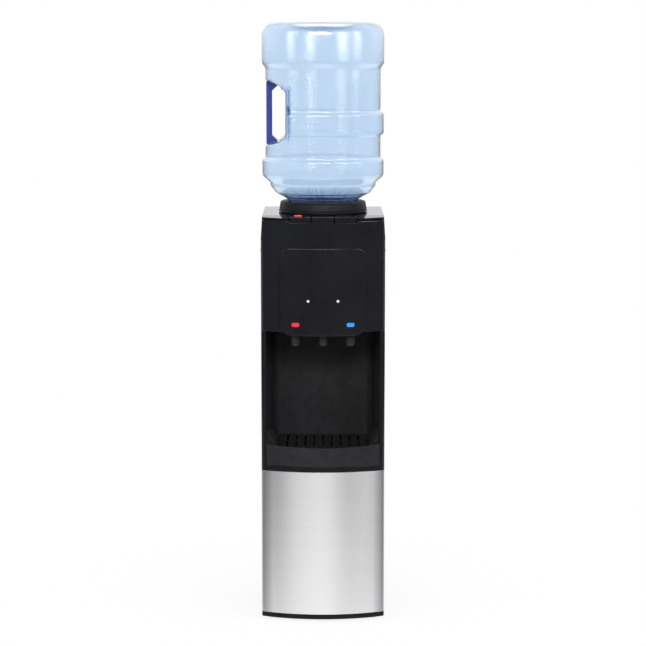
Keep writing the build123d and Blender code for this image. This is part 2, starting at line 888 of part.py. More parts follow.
def make_key(centre, slotted):
    """Push key: a hollow cap at the front edge, on an arm that turns on the hinge rod."""
    x0 = centre - key_width / 2
    x1 = centre + key_width / 2
    z0 = key_sill - key_skirt
    front = fascia_wall + key_front_gap
    cap = plan_block(mould_rear, front, z0, cover_top) & block(x0, x1, -far, key_rear_y, 0, sky)
    top_edges = cap.edges().filter_by_position(Axis.Z, cover_top, cover_top)
    cap = fillet(top_edges, key_edge_radius)
    hollow = plan_block(mould_rear, front + key_wall, z0 - 1, cover_top - key_wall)
    hollow &= block(x0 + key_wall, x1 - key_wall, -far, key_rear_y - key_wall, 0, sky)
    cap -= hollow
    arm_z = hinge_z - barrel_radius
    inset = 2 * key_wall
    root = key_rear_y - key_wall - arm_thickness
    arm = block(x0 + inset, x1 - inset, root, hinge_y, arm_z, arm_z + arm_thickness)
    barrel = bar_x(x0 + inset, x1 - inset, hinge_y, hinge_z, barrel_radius)
    cap -= block(x0 - 1, x1 + 1, root, key_rear_y + 1, 0, arm_z)
    key = cap + arm + barrel
    key -= bar_x(x0 - 1, x1 + 1, hinge_y, hinge_z, hinge_radius + running_gap)
    if slotted:
        dx = lock_width / 2 - lock_stem_inset + hole_gap
        y0 = lock_y - lock_depth / 2 + 1 - hole_gap
        y1 = lock_y + lock_depth / 2 - 1 + lock_travel + hole_gap
        key -= block(lock_x - dx, lock_x + dx, y0, y1, cover_top - 2 * key_wall, cover_top + 1)
    return key


def make_child_lock():
    """Lock tab that slides in the slot of the hot key, with a foot under the key's top."""
    z0 = cover_top + seat_gap
    half = lock_width / 2
    half_y = lock_depth / 2
    knob = block(lock_x - half, lock_x + half, lock_y - half_y, lock_y + half_y, z0, z0 + lock_height)
    upright = knob.edges().filter_by(Axis.Z)
    knob = fillet(upright, lock_corner)
    rim = knob.edges().filter_by_position(Axis.Z, z0 + lock_height, z0 + lock_height)
    knob = chamfer(rim, lock_bevel)
    stem_x = half - lock_stem_inset
    stem_y = half_y - 1
    under = cover_top - key_wall - seat_gap
    stem = block(lock_x - stem_x, lock_x + stem_x, lock_y - stem_y, lock_y + stem_y, under - 2, z0)
    foot_y = stem_y + lock_catch
    foot = block(lock_x - half + 1, lock_x + half - 1, lock_y - foot_y, lock_y + foot_y, under - 2, under)
    return knob + stem + foot


def rod_top():
    """Height of a push rod's tip, just under the arm of its key."""
    return hinge_z - barrel_radius - seat_gap


def make_push_rod(x):
    """Push rod with a domed tip, a spring flange, and an end that runs in the tap."""
    low = tap_top - rod_entry
    flange = tap_top + spring_height
    top = rod_top() - rod_radius
    rod = post(x, tap_y, low, top, rod_radius)
    rod += Pos(x, tap_y, top) * Sphere(rod_radius)
    rod += post(x, tap_y, flange, flange + rod_flange, rod_flange_radius)
    return rod


def make_spring(x):
    """Return spring round a push rod, between the tap and the rod's flange."""
    rise = spring_height - 2 * spring_wire - spring_end_gap
    steps = spring_turns * spring_steps
    points = []
    for i in range(steps + 1):
        a = 2 * math.pi * i / spring_steps
        points.append((spring_radius * math.cos(a), spring_radius * math.sin(a), rise * i / steps))
    path = Polyline(*points)
    start = Plane(origin=path @ 0, z_dir=path % 0)
    wire_face = start * Rectangle(2 * spring_wire, 2 * spring_wire)
    coil = sweep(wire_face, path, transition=Transition.RIGHT)
    return Pos(x, tap_y, tap_top + spring_wire + snug_gap) * coil


def make_rod_guide():
    """Guide plate behind the fascia that keeps the three rods upright."""
    top = guide_z + guide_thickness
    plate = plan_block(mould_rear - 1, fascia_wall + seat_gap, guide_z, top)
    plate &= block(-guide_half, guide_half, -far, far, 0, sky)
    for x in (-tap_x, 0, tap_x):
        plate += post(x, tap_y, guide_z - guide_boss, top, rod_radius + guide_boss_wall)
        plate -= post(x, tap_y, guide_z - guide_boss - 1, top + 1, rod_radius + running_gap)
    return plate


def make_tap(x, inlet_to_rear):
    """Tap: a barrel on the bay roof, a nozzle through it, a water passage, and an inlet nipple."""
    roof = bay_top + bay_wall
    body = turned([(0, nozzle_z, 0), (nozzle_radius - nozzle_bevel, nozzle_z, 0),
                   (nozzle_radius, nozzle_z + nozzle_lip, 0), (nozzle_radius, roof + seat_gap, 0),
                   (tap_radius, roof + seat_gap, 0), (tap_radius, tap_top - tap_shoulder, 0),
                   (tap_radius - tap_bevel, tap_top, 0), (0, tap_top, 0)])
    body = Pos(x, tap_y, 0) * body
    if inlet_to_rear:
        y1 = tap_y + tap_radius + nipple_reach
        body += bar_y(x, tap_y + passage_radius, y1, inlet_z, nipple_radius)
        body -= bar_y(x, tap_y, y1 + 1, inlet_z, nipple_bore)
    else:
        x0 = x - tap_radius - nipple_reach
        body += bar_x(x0, x - passage_radius, tap_y, inlet_z, nipple_radius)
        body -= bar_x(x0 - 1, x, tap_y, inlet_z, nipple_bore)
    body -= post(x, tap_y, nozzle_z - 1, inlet_z + nipple_bore, passage_radius)
    body -= post(x, tap_y, tap_top - rod_bore_depth, tap_top + 1, rod_radius + running_gap)
    return body


def seat_line(radius, drop=0.0):
    """Height of the bottle's lower cone at a radius, or of a cone parallel to it and drop below."""
    r0, z0 = seat_low
    r1, z1 = seat_high
    slope = (z1 - z0) / (r1 - r0)
    return z0 + (radius - r0) * slope - drop * math.hypot(1, slope)


def make_bottle_collar():
    """Collar: a two tier rim, a cone that carries the bottle, a well for the neck, and a tank skirt."""
    cone_out = collar_skirt_radius - collar_wall
    well_out = well_radius + collar_wall
    tier = collar_seat_radius - seat_gap
    seat_in = tier - collar_seat_width + 1
    under = cover_top - collar_seat_drop + seat_gap
    skirt_in = collar_skirt_radius - collar_wall
    drop = seat_gap + collar_wall
    collar = turned([
        (cone_out, seat_line(cone_out, seat_gap), 0),
        (collar_rim_radius - collar_rim_width, collar_rim_z, 0),
        (collar_rim_radius - collar_rim_bevel, collar_rim_z, 0),
        (collar_rim_radius, collar_rim_z - collar_rim_bevel, 0),
        (collar_radius, collar_tier_z, 0),
        (tier, collar_tier_z - 2, 0),
        (tier, cover_top + 2 * seat_gap, 0),
        (seat_in, under + seat_gap, 0),
        (collar_skirt_radius, under + seat_gap, 0),
        (collar_skirt_radius, tank_top + seat_gap, 0),
        (skirt_in, tank_top + seat_gap, 0),
        (skirt_in, seat_line(skirt_in, drop), 0),
        (well_out, seat_line(well_out, drop), 0),
        (well_out, well_z, 0),
        (probe_radius + 2, well_z, 0),
        (probe_radius + 2, well_z + collar_wall, 0),
        (well_radius, well_z + collar_wall, 0),
        (well_radius, seat_line(well_radius, seat_gap), 0),
    ])
    return collar


def make_feed_probe():
    """Feed probe: a spigot with a pointed crown and water slots, standing in the collar's well."""
    floor = well_z + collar_wall
    bore = probe_radius - probe_wall
    rim = probe_radius + probe_flange
    point_z = probe_top - probe_point
    tail = well_z - probe_tail
    probe = turned([(bore, tail, 0), (probe_radius, tail, 0), (probe_radius, floor, 0), (rim, floor, 0),
                    (rim, floor + 2, 0), (probe_radius, floor + 2, 0), (probe_radius, point_z, 0),
                    (2, probe_top, 0), (0, probe_top, 0), (0, probe_top - past, 0), (bore, point_z - 2, 0)])
    low, high = probe_slot_drop
    half = probe_slot_width / 2
    for angle in (0, 90):
        slot = block(-half, half, -far, far, probe_top - low, probe_top - high)
        probe -= Rot(0, 0, angle) * slot
    return probe


def bottle_profile(inset):
    """The bottle turned solid, moved inwards by inset, with the neck left open below."""
    slope_r, slope_z = seat_high
    flat_r, flat_z = shoulder_flat
    mouth = neck_z - 1 if inset > 0 else neck_z
    lean = 0.6 * inset
    top = bottle_top - inset
    wide = ring_radius - inset
    waist = body_radius - inset
    end = end_radius - inset
    points = [
        (0, mouth, 0),
        (neck_radius - inset, mouth, 0),
        (neck_radius - inset, neck_top + inset, 0),
        (seat_low[0] - lean, seat_low[1] + inset, 0),
        (slope_r - lean, slope_z + inset, 0),
        (flat_r - lean, flat_z + inset, shoulder_corner - inset),
        (shoulder_step_radius - inset, flat_z + shoulder_step_rise, 0),
        (shoulder_step_radius - inset, shoulder_step_z + lean, 0),
        (wide - 2, shoulder_z + lean, 0),
        (wide, ring_low[0], 0),
        (wide, ring_low[1], 0),
        (waist, ring_low[1] + ring_rise, 0),
        (waist, ring_high[0] - ring_rise, 0),
        (wide, ring_high[0], 0),
        (wide, ring_high[1], 0),
        (waist, ring_high[1] + ring_rise, 0),
        (waist, end_z - 3 * ring_rise, 0),
        (end, end_z, 0),
        (end, top, bottle_corner - inset),
        (dome_radius, top, 0),
        (dome_inner_radius, top - dome_shoulder_depth, 0),
        (0, top - dome_depth, 0),
    ]
    return turned(points)


def recess_low_at(x):
    """Height of the scoop's lower wall at x, which falls towards its mouth."""
    return recess_low - recess_low_flare * (recess_x - x) / (recess_x - recess_mouth_x)


def recess_high_at(x):
    """Height of the scoop's upper wall at x, which climbs towards its mouth."""
    return recess_high + recess_high_flare * (recess_x - x) / (recess_x - recess_mouth_x)


def recess_volume(grow):
    """The flared scoop that holds the handle, right through the side of the bottle."""
    r = recess_corner + grow
    mouth = recess_mouth_x
    face = rounded([(-far, recess_low_at(mouth) - grow, 0), (mouth, recess_low_at(mouth) - grow, 0),
                    (recess_x + grow, recess_low - grow, r), (recess_x + grow, recess_high + grow, r),
                    (mouth, recess_high_at(mouth) + grow, 0), (-far, recess_high_at(mouth) + grow, 0)])
    return across(face, -far / 2, far / 2)


def make_bottle_shell():
    """Blown bottle: ribbed wall of one thickness with a scooped handle recess."""
    outer = bottle_profile(0) - recess_volume(0)
    inner = bottle_profile(bottle_wall) - recess_volume(bottle_wall)
    return outer - inner


def make_bottle_handle():
    """Handle: an upright bar that spreads at both ends against the sloping walls of the scoop."""
    x0 = handle_outer
    x1 = x0 + handle_bar
    x2 = x1 + handle_root
    low_0 = recess_low_at(x0) + seat_gap
    low_2 = recess_low_at(x2) + seat_gap
    high_0 = recess_high_at(x0) - seat_gap
    high_2 = recess_high_at(x2) - seat_gap
    c = handle_chamfer
    r = handle_corner
    face = rounded([(x0, low_0, r), (x2, low_2, 0), (x1, low_2 + c, r), (x1, high_2 - c, r),
                    (x2, high_2, 0), (x0, high_0, r)])
    half = handle_depth / 2
    return across(face, -half, half)


def make_bottle_cap():
    """Cap on the neck, with the hole that the feed probe goes through."""
    z0 = neck_z - cap_wall - seat_gap
    inner = cap_radius - cap_wall
    return turned([(cap_hole, z0, 0), (cap_radius, z0, 0), (cap_radius, z0 + cap_height, 0),
                   (inner, z0 + cap_height, 0), (inner, z0 + cap_wall, 0), (cap_hole, z0 + cap_wall, 0)])


def tank_front(x):
    """Y of the tank's wall in front of a nipple at x."""
    return -math.sqrt(tank_radius ** 2 - x ** 2)


def tank_nipple_end():
    """Y where the nipples of the cold tank meet their hoses."""
    return -cold_jacket_radius - 2


def make_cold_tank():
    """Open stainless tank with a rolled flange, two front nipples and a feed nipple below."""
    inner = tank_radius - tank_wall
    rim = tank_radius + tank_flange
    c = tank_corner
    tank = turned([(0, tank_z, 0), (tank_radius - c, tank_z, 0), (tank_radius, tank_z + c, 0),
                   (tank_radius, tank_top - flange_sheet, 0), (rim, tank_top - flange_sheet, 0),
                   (rim, tank_top, 0), (inner, tank_top, 0), (inner, tank_z + c, 0),
                   (inner - c + tank_wall, tank_z + tank_wall, 0), (0, tank_z + tank_wall, 0)])
    for x in (0, tap_x):
        y = tank_front(x)
        nipple = bar_y(x, tank_nipple_end(), y + 1, inlet_z, nipple_radius)
        tank += nipple - post(0, 0, 0, sky, inner)
        tank -= bar_y(x, tank_nipple_end() - 1, y + nipple_root, inlet_z, nipple_bore)
    tank += post(feed_x, feed_y, bay_top - past, tank_z + tank_wall / 2, nipple_radius)
    tank -= post(feed_x, feed_y, 0, tank_z + past, nipple_bore)
    return tank


def make_tank_baffle():
    """Baffle that keeps the room temperature water above the chilled water, with its down pipe."""
    inner = tank_radius - tank_wall - seat_gap
    top = baffle_z + baffle_sheet
    plate = post(0, 0, baffle_z, top, inner)
    down_y = -inner + down_pipe_inset
    plate += post(0, down_y, inlet_z + down_pipe_rise, top, down_pipe_radius)
    plate -= post(0, down_y, inlet_z, top + 1, down_pipe_bore)
    for place in PolarLocations(baffle_hole_circle, baffle_hole_count, start_angle=90 / 2):
        plate -= place * Pos(0, 0, baffle_z) * Cylinder(baffle_hole, 2 * past)
    return plate


def make_cold_jacket():
    """Foam jacket of the cold tank, with holes for its nipples and lines."""
    low = bay_top + bay_wall + seat_gap
    high = tank_top - flange_sheet - seat_gap
    bore = tank_radius + sleeve_gap + sleeve_wall + seat_gap
    jacket = post(0, 0, low, high, cold_jacket_radius)
    jacket -= post(0, 0, tank_z - seat_gap, high + 1, bore)
    for x in (0, tap_x):
        jacket -= bar_y(x, -far, 0, inlet_z, nipple_radius + hole_gap)
    jacket -= post(feed_x, feed_y, 0, tank_z, nipple_radius + hole_gap)
    jacket -= bar_y(line_port_x, 0, far, line_port_z, line_radius + hole_gap)
    jacket -= bar_y(-line_port_x, 0, far, line_port_z, capillary_radius + hole_gap)
    return jacket


def make_evaporator():
    """Evaporator sleeve wrapped round the cold tank."""
    inner = tank_radius + sleeve_gap
    sleeve = post(0, 0, sleeve_z, sleeve_z + sleeve_height, inner + sleeve_wall)
    return sleeve - post(0, 0, sleeve_z - 1, sleeve_z + sleeve_height + 1, inner)


def hot_form(inset):
    """The hot tank's turned form, moved inwards by inset."""
    flat = hot_radius - hot_dome_run
    side = hot_radius - inset
    low = hot_z + inset
    high = hot_top - inset
    form = turned([(0, low, 0), (flat, low, 0), (side, low + hot_dome, 0), (side, high - hot_dome, 0),
                   (flat, high, 0), (0, high, 0)])
    return Pos(0, hot_y, 0) * form


def make_hot_tank():
    """Stainless hot tank with domed ends, an outlet above, and feed and drain nipples below."""
    tank = hot_form(0) - hot_form(hot_wall)
    tank += post(hot_out_x, hot_y, hot_top - hot_wall, hot_outlet_z(), nipple_radius)
    tank -= post(hot_out_x, hot_y, hot_top - past, hot_outlet_z() + 1, nipple_bore)
    for x in (hot_in_x, drain_x):
        tank += post(x, hot_y, hot_bottom_z(), hot_z + hot_wall, nipple_radius)
        tank -= post(x, hot_y, hot_bottom_z() - 1, hot_z + past, nipple_bore)
    return tank


def hot_outlet_z():
    """Top of the hot tank's outlet nipple."""
    return hot_jacket_top + 2


def hot_bottom_z():
    """Foot of the hot tank's lower nipples, below the shelf."""
    return hot_z - hot_jacket_wall - hot_nipple_drop


def make_hot_jacket():
    """Foam block round the hot tank, held between the bay and the back panel, open above."""
    low = hot_z - hot_jacket_wall
    y1 = cabinet_rear - seat_gap
    y0 = bay_rear + bay_rear_bow + bay_wall + seat_gap
    r = hot_jacket_corner
    half = hot_jacket_half
    plan = rounded([(-half, y0, r), (half, y0, r), (half, y1, r), (-half, y1, r)])
    jacket = extrude(Pos(0, 0, low) * plan, hot_jacket_top - low)
    jacket -= post(0, hot_y, hot_z - seat_gap, hot_jacket_top + 1, hot_radius + band_wall + 2 * seat_gap)
    for x in (hot_in_x, drain_x):
        jacket -= post(x, hot_y, low - 1, hot_z, nipple_radius + hole_gap)
    return jacket


def make_heater_band():
    """Heater band clamped round the hot tank."""
    inner = hot_radius + sleeve_gap
    band = post(0, hot_y, band_z, band_z + band_height, inner + band_wall)
    return band - post(0, hot_y, band_z - 1, band_z + band_height + 1, inner)


def make_thermostats():
    """Two disc thermostats on top of the hot tank."""
    parts = []
    for side in (-1, 1):
        y = hot_y + side * thermostat_spread
        disc = post(thermostat_x, y, hot_top, hot_top + thermostat_height, thermostat_radius)
        top = hot_top + thermostat_height
        disc += block(thermostat_x - terminal_half, thermostat_x + terminal_half, y - terminal_half_width,
                      y + terminal_half_width, top, top + 2)
        parts.append(disc)
    return parts


def make_water_hoses():
    """Hoses: hot tank to hot tap, cold tank to the other taps, feed to the hot tank, and the drain."""
    tap_rear = tap_y + tap_radius + nipple_reach
    r = nipple_radius
    hoses = []
    for x in (0, tap_x):
        hoses.append(pipe([(x, tank_nipple_end(), inlet_z), (x, tap_rear, inlet_z)], [], r))
    side = -cold_jacket_radius - hose_side
    bend_z = hot_outlet_z() + hose_rise
    hot_end = -tap_x - tap_radius - nipple_reach
    hoses.append(pipe([(hot_out_x, hot_y, hot_outlet_z()), (hot_out_x, hot_y, bend_z), (side, hot_y, bend_z),
                       (side, hot_y, inlet_z), (side, tap_y, inlet_z), (hot_end, tap_y, inlet_z)],
                      [hose_short_bend, hose_bend, hose_bend, hose_bend], r))
    low = hot_bottom_z() - hose_drop
    hoses.append(pipe([(feed_x, feed_y, bay_top - past), (feed_x, feed_y, low), (hot_in_x, hot_y, low),
                       (hot_in_x, hot_y, hot_bottom_z())], [hose_bend, hose_short_bend], r))
    hoses.append(pipe([(drain_x, hot_y, hot_bottom_z()), (drain_x, hot_y, fitting_z),
                       (drain_outlet_x, hot_y, fitting_z),
                       (drain_outlet_x, cabinet_rear - drain_reach, fitting_z)], [hose_bend, hose_bend], r))
    return hoses


def pump_form(inset):
    """The compressor can's turned form with a faceted dome, moved inwards by inset."""
    can = steel_z + grommet_height + pump_plate
    run, rise = pump_foot
    points = [(0, can + inset, 0), (pump_radius - run - inset, can + inset, 0),
              (pump_radius - inset, can + rise + inset, 0)]
    for k in range(pump_dome_bands + 1):
        a = k * math.pi / 2 / pump_dome_bands
        points.append((pump_radius - pump_dome + (pump_dome - inset) * math.cos(a),
                       can + pump_height - pump_dome + (pump_dome - inset) * math.sin(a), 0))
    points.append((0, can + pump_height - inset, 0))
    return turned(points)


def grommet_places():
    """The four corners of the compressor plate."""
    return [(sx * grommet_spread_x, pump_y + sy * grommet_spread_y) for sx in (-1, 1) for sy in (-1, 1)]


def make_compressor():
    """Hermetic compressor: a domed can with a weld seam, a mounting plate, a relay box and two ports."""
    z0 = steel_z + grommet_height
    can = z0 + pump_plate
    r = pump_radius
    body = pump_form(0) - pump_form(pump_wall)
    seam_z = can + pump_seam_z
    body += turned([(r - 1, seam_z, 0), (r + pump_seam, seam_z, 0), (r + pump_seam, seam_z + pump_seam, 0),
                    (r - 1, seam_z + pump_seam, 0)])
    body = Pos(0, pump_y, 0) * body
    depth = 2 * (grommet_spread_y + pump_plate_margin)
    plate = extrude(Pos(0, pump_y, z0) * RectangleRounded(2 * pump_plate_half, depth, pump_plate_margin),
                    pump_plate)
    for x, y in grommet_places():
        plate -= post(x, y, z0 - 1, can + 1, grommet_neck + hole_gap)
    low, high = relay_rise
    relay = block(-r - relay_depth, 0, pump_y - relay_half, pump_y + relay_half, can + low, can + high)
    relay -= post(0, pump_y, 0, far, r - 1)
    body += plate + relay
    for y, z in ((suction_y, suction_z), (discharge_y, discharge_z)):
        body += bar_x(r - pump_wall, port_reach, y, z, line_radius)
        body -= bar_x(r - 2 * pump_wall, port_reach + 1, y, z, line_radius - line_wall)
    return body


def make_grommets():
    """Four rubber grommets under the compressor plate."""
    parts = []
    top = steel_z + grommet_height
    for x, y in grommet_places():
        ring = post(x, y, steel_z, top, grommet_radius) + post(x, y, top, top + pump_plate + 2, grommet_neck)
        parts.append(ring - post(x, y, steel_z - 1, top + past + 1, grommet_bore))
    return parts


def coil_y():
    """Y of the condenser tube's axis."""
    return half_depth - wire - coil_radius


def make_condenser():
    """Wire and tube condenser: one serpentine tube, upright wires on both sides, and four brackets."""
    y = coil_y()
    points = []
    for i in range(coil_passes):
        z = coil_z + i * coil_pitch
        ends = (-coil_half, coil_half) if i % 2 == 0 else (coil_half, -coil_half)
        reach = coil_pitch / 2
        for k, x in enumerate(ends):
            outer = x + math.copysign(reach, x)
            first = i == 0 and k == 0
            last = i == coil_passes - 1 and k == 1
            points.append((x if first or last else outer, y, z))
    tube = pipe(points, [coil_pitch / 2 - 0.1] * (len(points) - 2), coil_radius)
    parts = [tube]
    low = coil_z - wire_overhang
    high = coil_z + (coil_passes - 1) * coil_pitch + wire_overhang
    for i in range(wire_count):
        x = (i - (wire_count - 1) / 2) * wire_pitch
        for y0 in (y + coil_radius, y - coil_radius - wire):
            parts.append(block(x - wire / 2, x + wire / 2, y0, y0 + wire, low, high))
    panel = cabinet_rear + sheet
    inner = y - coil_radius - wire
    t = bracket_sheet
    for side in (-1, 1):
        x = side * bracket_wire * wire_pitch
        for z in (low + bracket_inset, high - bracket_inset):
            foot_z = z - bracket_leg
            strap = make_face(Polyline((panel, foot_z), (panel + t, foot_z), (panel + t, z), (inner - t, z),
                                       (inner - t, foot_z), (inner, foot_z), (inner, z + t), (panel, z + t),
                                       close=True))
            parts.append(along_x(strap, x - bracket_width / 2, x + bracket_width / 2))
    return parts


def make_refrigerant_lines():
    """Copper lines: discharge, liquid, capillary and suction."""
    y = coil_y()
    top_z = coil_z + (coil_passes - 1) * coil_pitch
    inner_y = drier_y + capillary_y
    sleeve_radius = tank_radius + sleeve_gap + sleeve_wall
    sleeve = math.sqrt(sleeve_radius ** 2 - (line_port_x - line_radius) ** 2) + seat_gap
    start = coil_half + snug_gap
    discharge = pipe([(port_reach, discharge_y, discharge_z), (outer_riser_x, discharge_y, discharge_z),
                      (outer_riser_x, y, discharge_z), (outer_riser_x, y, top_z), (start, y, top_z)],
                     3 * [line_bend], coil_radius)
    drier_top = drier_z + drier_height
    drop_z = drier_top + drier_line_rise
    liquid = pipe([(-start, y, coil_z), (drier_x, y, coil_z), (drier_x, y, drop_z),
                   (drier_x, drier_y, drop_z), (drier_x, drier_y, drier_top)], 3 * [line_bend], coil_radius)
    side = drier_x - capillary_side
    low = drier_z - capillary_drop
    capillary = pipe([(drier_x, drier_y, drier_z), (drier_x, drier_y, low), (side, inner_y, low),
                      (side, inner_y, line_port_z), (-line_port_x, inner_y, line_port_z),
                      (-line_port_x, sleeve, line_port_z)],
                     [capillary_bend, capillary_bend, line_bend, line_bend], capillary_radius)
    suction = pipe([(line_port_x, sleeve, line_port_z), (line_port_x, inner_y, line_port_z),
                    (riser_x, inner_y, line_port_z), (riser_x, inner_y, suction_z),
                    (riser_x, suction_y, suction_z), (port_reach, suction_y, suction_z)],
                   4 * [line_bend], line_radius)
    return [discharge, liquid, capillary, suction]


def make_filter_drier():
    """Copper filter drier between the condenser and the capillary."""
    top = drier_z + drier_height
    drier = turned([(0, drier_z, 0), (drier_neck, drier_z, 0), (drier_radius, drier_z + drier_taper, 0),
                    (drier_radius, top - drier_taper, 0), (drier_neck, top, 0), (0, top, 0)])
    return Pos(drier_x, drier_y, 0) * drier


def rear_turned(points, x, z):
    """A solid of revolution about Y from (radius, y, corner radius) points, at x and z."""
    solid = revolve(Plane.XY * rounded(points), Axis.Y)
    return Pos(x, 0, z) * solid


def make_drain_outlet():
    """Drain spigot through the back panel, with a flange outside."""
    y0 = cabinet_rear - drain_reach
    y1 = y0 + drain_nipple
    face = cabinet_rear + sheet
    rim = drain_radius + drain_flange
    behind = face + drain_flange_sheet
    return rear_turned([(nipple_bore, y0, 0), (nipple_radius, y0, 0), (nipple_radius, y1, 0),
                        (drain_radius, y1, 0), (drain_radius, face, 0), (rim, face, 0), (rim, behind, 0),
                        (drain_radius, behind, 0), (drain_radius, face + drain_reach, 0),
                        (nipple_bore, face + drain_reach, 0)], drain_outlet_x, fitting_z)


def make_drain_cap():
    """Round cap over the drain spigot."""
    y0 = cabinet_rear + sheet + drain_flange_sheet + seat_gap
    y1 = y0 + drain_cap_length
    inner = drain_radius + running_gap
    return rear_turned([(inner, y0, 0), (drain_cap_radius, y0, 0), (drain_cap_radius, y1 - drain_cap_wall, 0),
                        (drain_cap_radius - drain_cap_bevel, y1, 0), (0, y1, 0), (0, y1 - drain_cap_wall, 0),
                        (inner, y1 - drain_cap_wall, 0)], drain_outlet_x, fitting_z)


def make_cord_gland():
    """Spool shaped gland in the back panel where a power lead would come out."""
    y0 = cabinet_rear - gland_inside
    y1 = cabinet_rear + sheet + gland_outside
    lip = gland_radius + gland_lip
    return rear_turned([(gland_bore, y0, 0), (lip, y0, 0), (lip, cabinet_rear, 0),
                        (gland_radius, cabinet_rear, 0), (gland_radius, cabinet_rear + sheet, 0),
                        (lip, cabinet_rear + sheet, 0), (gland_bore + 2, y1, 0), (gland_bore, y1, 0)],
                       gland_x, fitting_z)


def make_switch_housings():
    """Housings of the two rocker switches, with an open pocket for the rocker."""
    face = cabinet_rear + sheet
    parts = []
    for x in switch_x:
        w = switch_half_width
        h = switch_half_height
        frame_w = w + switch_frame
        frame_h = h + switch_frame
        body = block(x - w, x + w, face - switch_depth, face, switch_z - h, switch_z + h)
        body += block(x - frame_w, x + frame_w, face, face + switch_flange, switch_z - frame_h,
                      switch_z + frame_h)
        pocket_w = rocker_half_width + pocket_side_gap
        pocket_h = rocker_half_height + pocket_end_gap
        body -= block(x - pocket_w, x + pocket_w, face - pocket_depth, face + past, switch_z - pocket_h,
                      switch_z + pocket_h)
        body -= bar_x(x - w + 1, x + w - 1, face, switch_z, pivot_radius + running_gap)
        parts.append(body)
    return parts


def make_rocker(x):
    """Rocker with a shallow V face and two stub pivots, tilted to its off position."""
    face = cabinet_rear + sheet
    h = rocker_half_height
    back = rocker_back_half
    profile = rounded([(rocker_back, -back, 0), (rocker_edge, -h, rocker_round), (rocker_valley, 0, 0),
                       (rocker_edge, h, rocker_round), (rocker_back, back, 0)])
    paddle = along_x(profile, -rocker_half_width, rocker_half_width)
    pivot = switch_half_width - pivot_radius
    paddle += bar_x(-pivot, pivot, 0, 0, pivot_radius)
    return Pos(x, face, switch_z) * Rot(-rocker_tilt, 0, 0) * paddle


def make_screws():
    """Pan head screws of the side panels and the back panel."""
    screws = []
    head = turned([(0, -screw_length, 0), (screw_radius, -screw_length, 0), (screw_radius, 0, 0),
                   (screw_head_radius, 0, 0), (screw_head_radius - 1, screw_head, 0), (0, screw_head, 0)])
    for side in (-1, 1):
        for y in side_screw_y:
            screws.append(Pos(side * panel_half, y, side_screw_z) * Rot(0, side * 90, 0) * head)
        for z in rear_screw_z:
            screws.append(Pos(side * rear_screw_x, cabinet_rear + sheet, z) * Rot(-90, 0, 0) * head)
    return screws


def write(name, made):
    """Write one node as parts/name.step."""
    solids = made if isinstance(made, list) else [made]
    if len(solids) == 1:
        shape = solids[0]
    else:
        shape = Compound(children=[Part(s.wrapped) for s in solids])
    shape.label = name
    export_step(shape, os.path.join("parts", name + ".step"))


def main():
    os.makedirs("parts", exist_ok=True)
    write("base_plate", make_base_plate())
    write("side_panel_left", make_side_panel(-1))
    write("side_panel_right", make_side_panel(1))
    write("back_panel", make_back_panel())
    write("steel_front_panel", make_steel_front())
    write("front_frame", make_front_frame())
    write("upper_fascia", make_upper_fascia())
    write("control_panel", make_control_panel())
    write("hot_marker", make_marker(-1))
    write("cold_marker", make_marker(1))
    write("indicator_lenses", make_lenses())
    write("bay_liner", make_bay_liner())
    write("drip_tray", make_drip_tray())
    write("drip_grille", make_drip_grille())
    write("top_cover", make_top_cover())
    write("key_hinge_rod", make_hinge_rod())
    write("child_lock", make_child_lock())
    write("push_rod_guide", make_rod_guide())
    for name, x, centre in (("hot", -tap_x, -key_pitch), ("room", 0, 0), ("cold", tap_x, key_pitch)):
        write(name + "_key", make_key(centre, name == "hot"))
        write(name + "_push_rod", make_push_rod(x))
        write(name + "_spring", make_spring(x))
        write(name + "_tap", make_tap(x, name != "hot"))
    write("bottle_collar", make_bottle_collar())
    write("feed_probe", make_feed_probe())
    write("bottle_shell", make_bottle_shell())
    write("bottle_handle", make_bottle_handle())
    write("bottle_cap", make_bottle_cap())
    write("cold_tank", make_cold_tank())
    write("tank_baffle", make_tank_baffle())
    write("cold_tank_jacket", make_cold_jacket())
    write("evaporator_sleeve", make_evaporator())
    write("hot_tank", make_hot_tank())
    write("hot_tank_jacket", make_hot_jacket())
    write("heater_band", make_heater_band())
    write("thermostats", make_thermostats())
    write("water_hoses", make_water_hoses())
    write("compressor", make_compressor())
    write("compressor_grommets", make_grommets())
    write("condenser", make_condenser())
    write("refrigerant_lines", make_refrigerant_lines())
    write("filter_drier", make_filter_drier())
    write("drain_outlet", make_drain_outlet())
    write("drain_cap", make_drain_cap())
    write("cord_gland", make_cord_gland())
    write("switch_housings", make_switch_housings())
    write("hot_switch_rocker", make_rocker(switch_x[0]))
    write("cold_switch_rocker", make_rocker(switch_x[1]))
    write("cabinet_screws", make_screws())
    for corner, (x, y) in foot_places().items():
        write("foot_" + corner, make_foot(x, y))


main()
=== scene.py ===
import json
import math

import bmesh
import bpy
from mathutils import Matrix, Vector


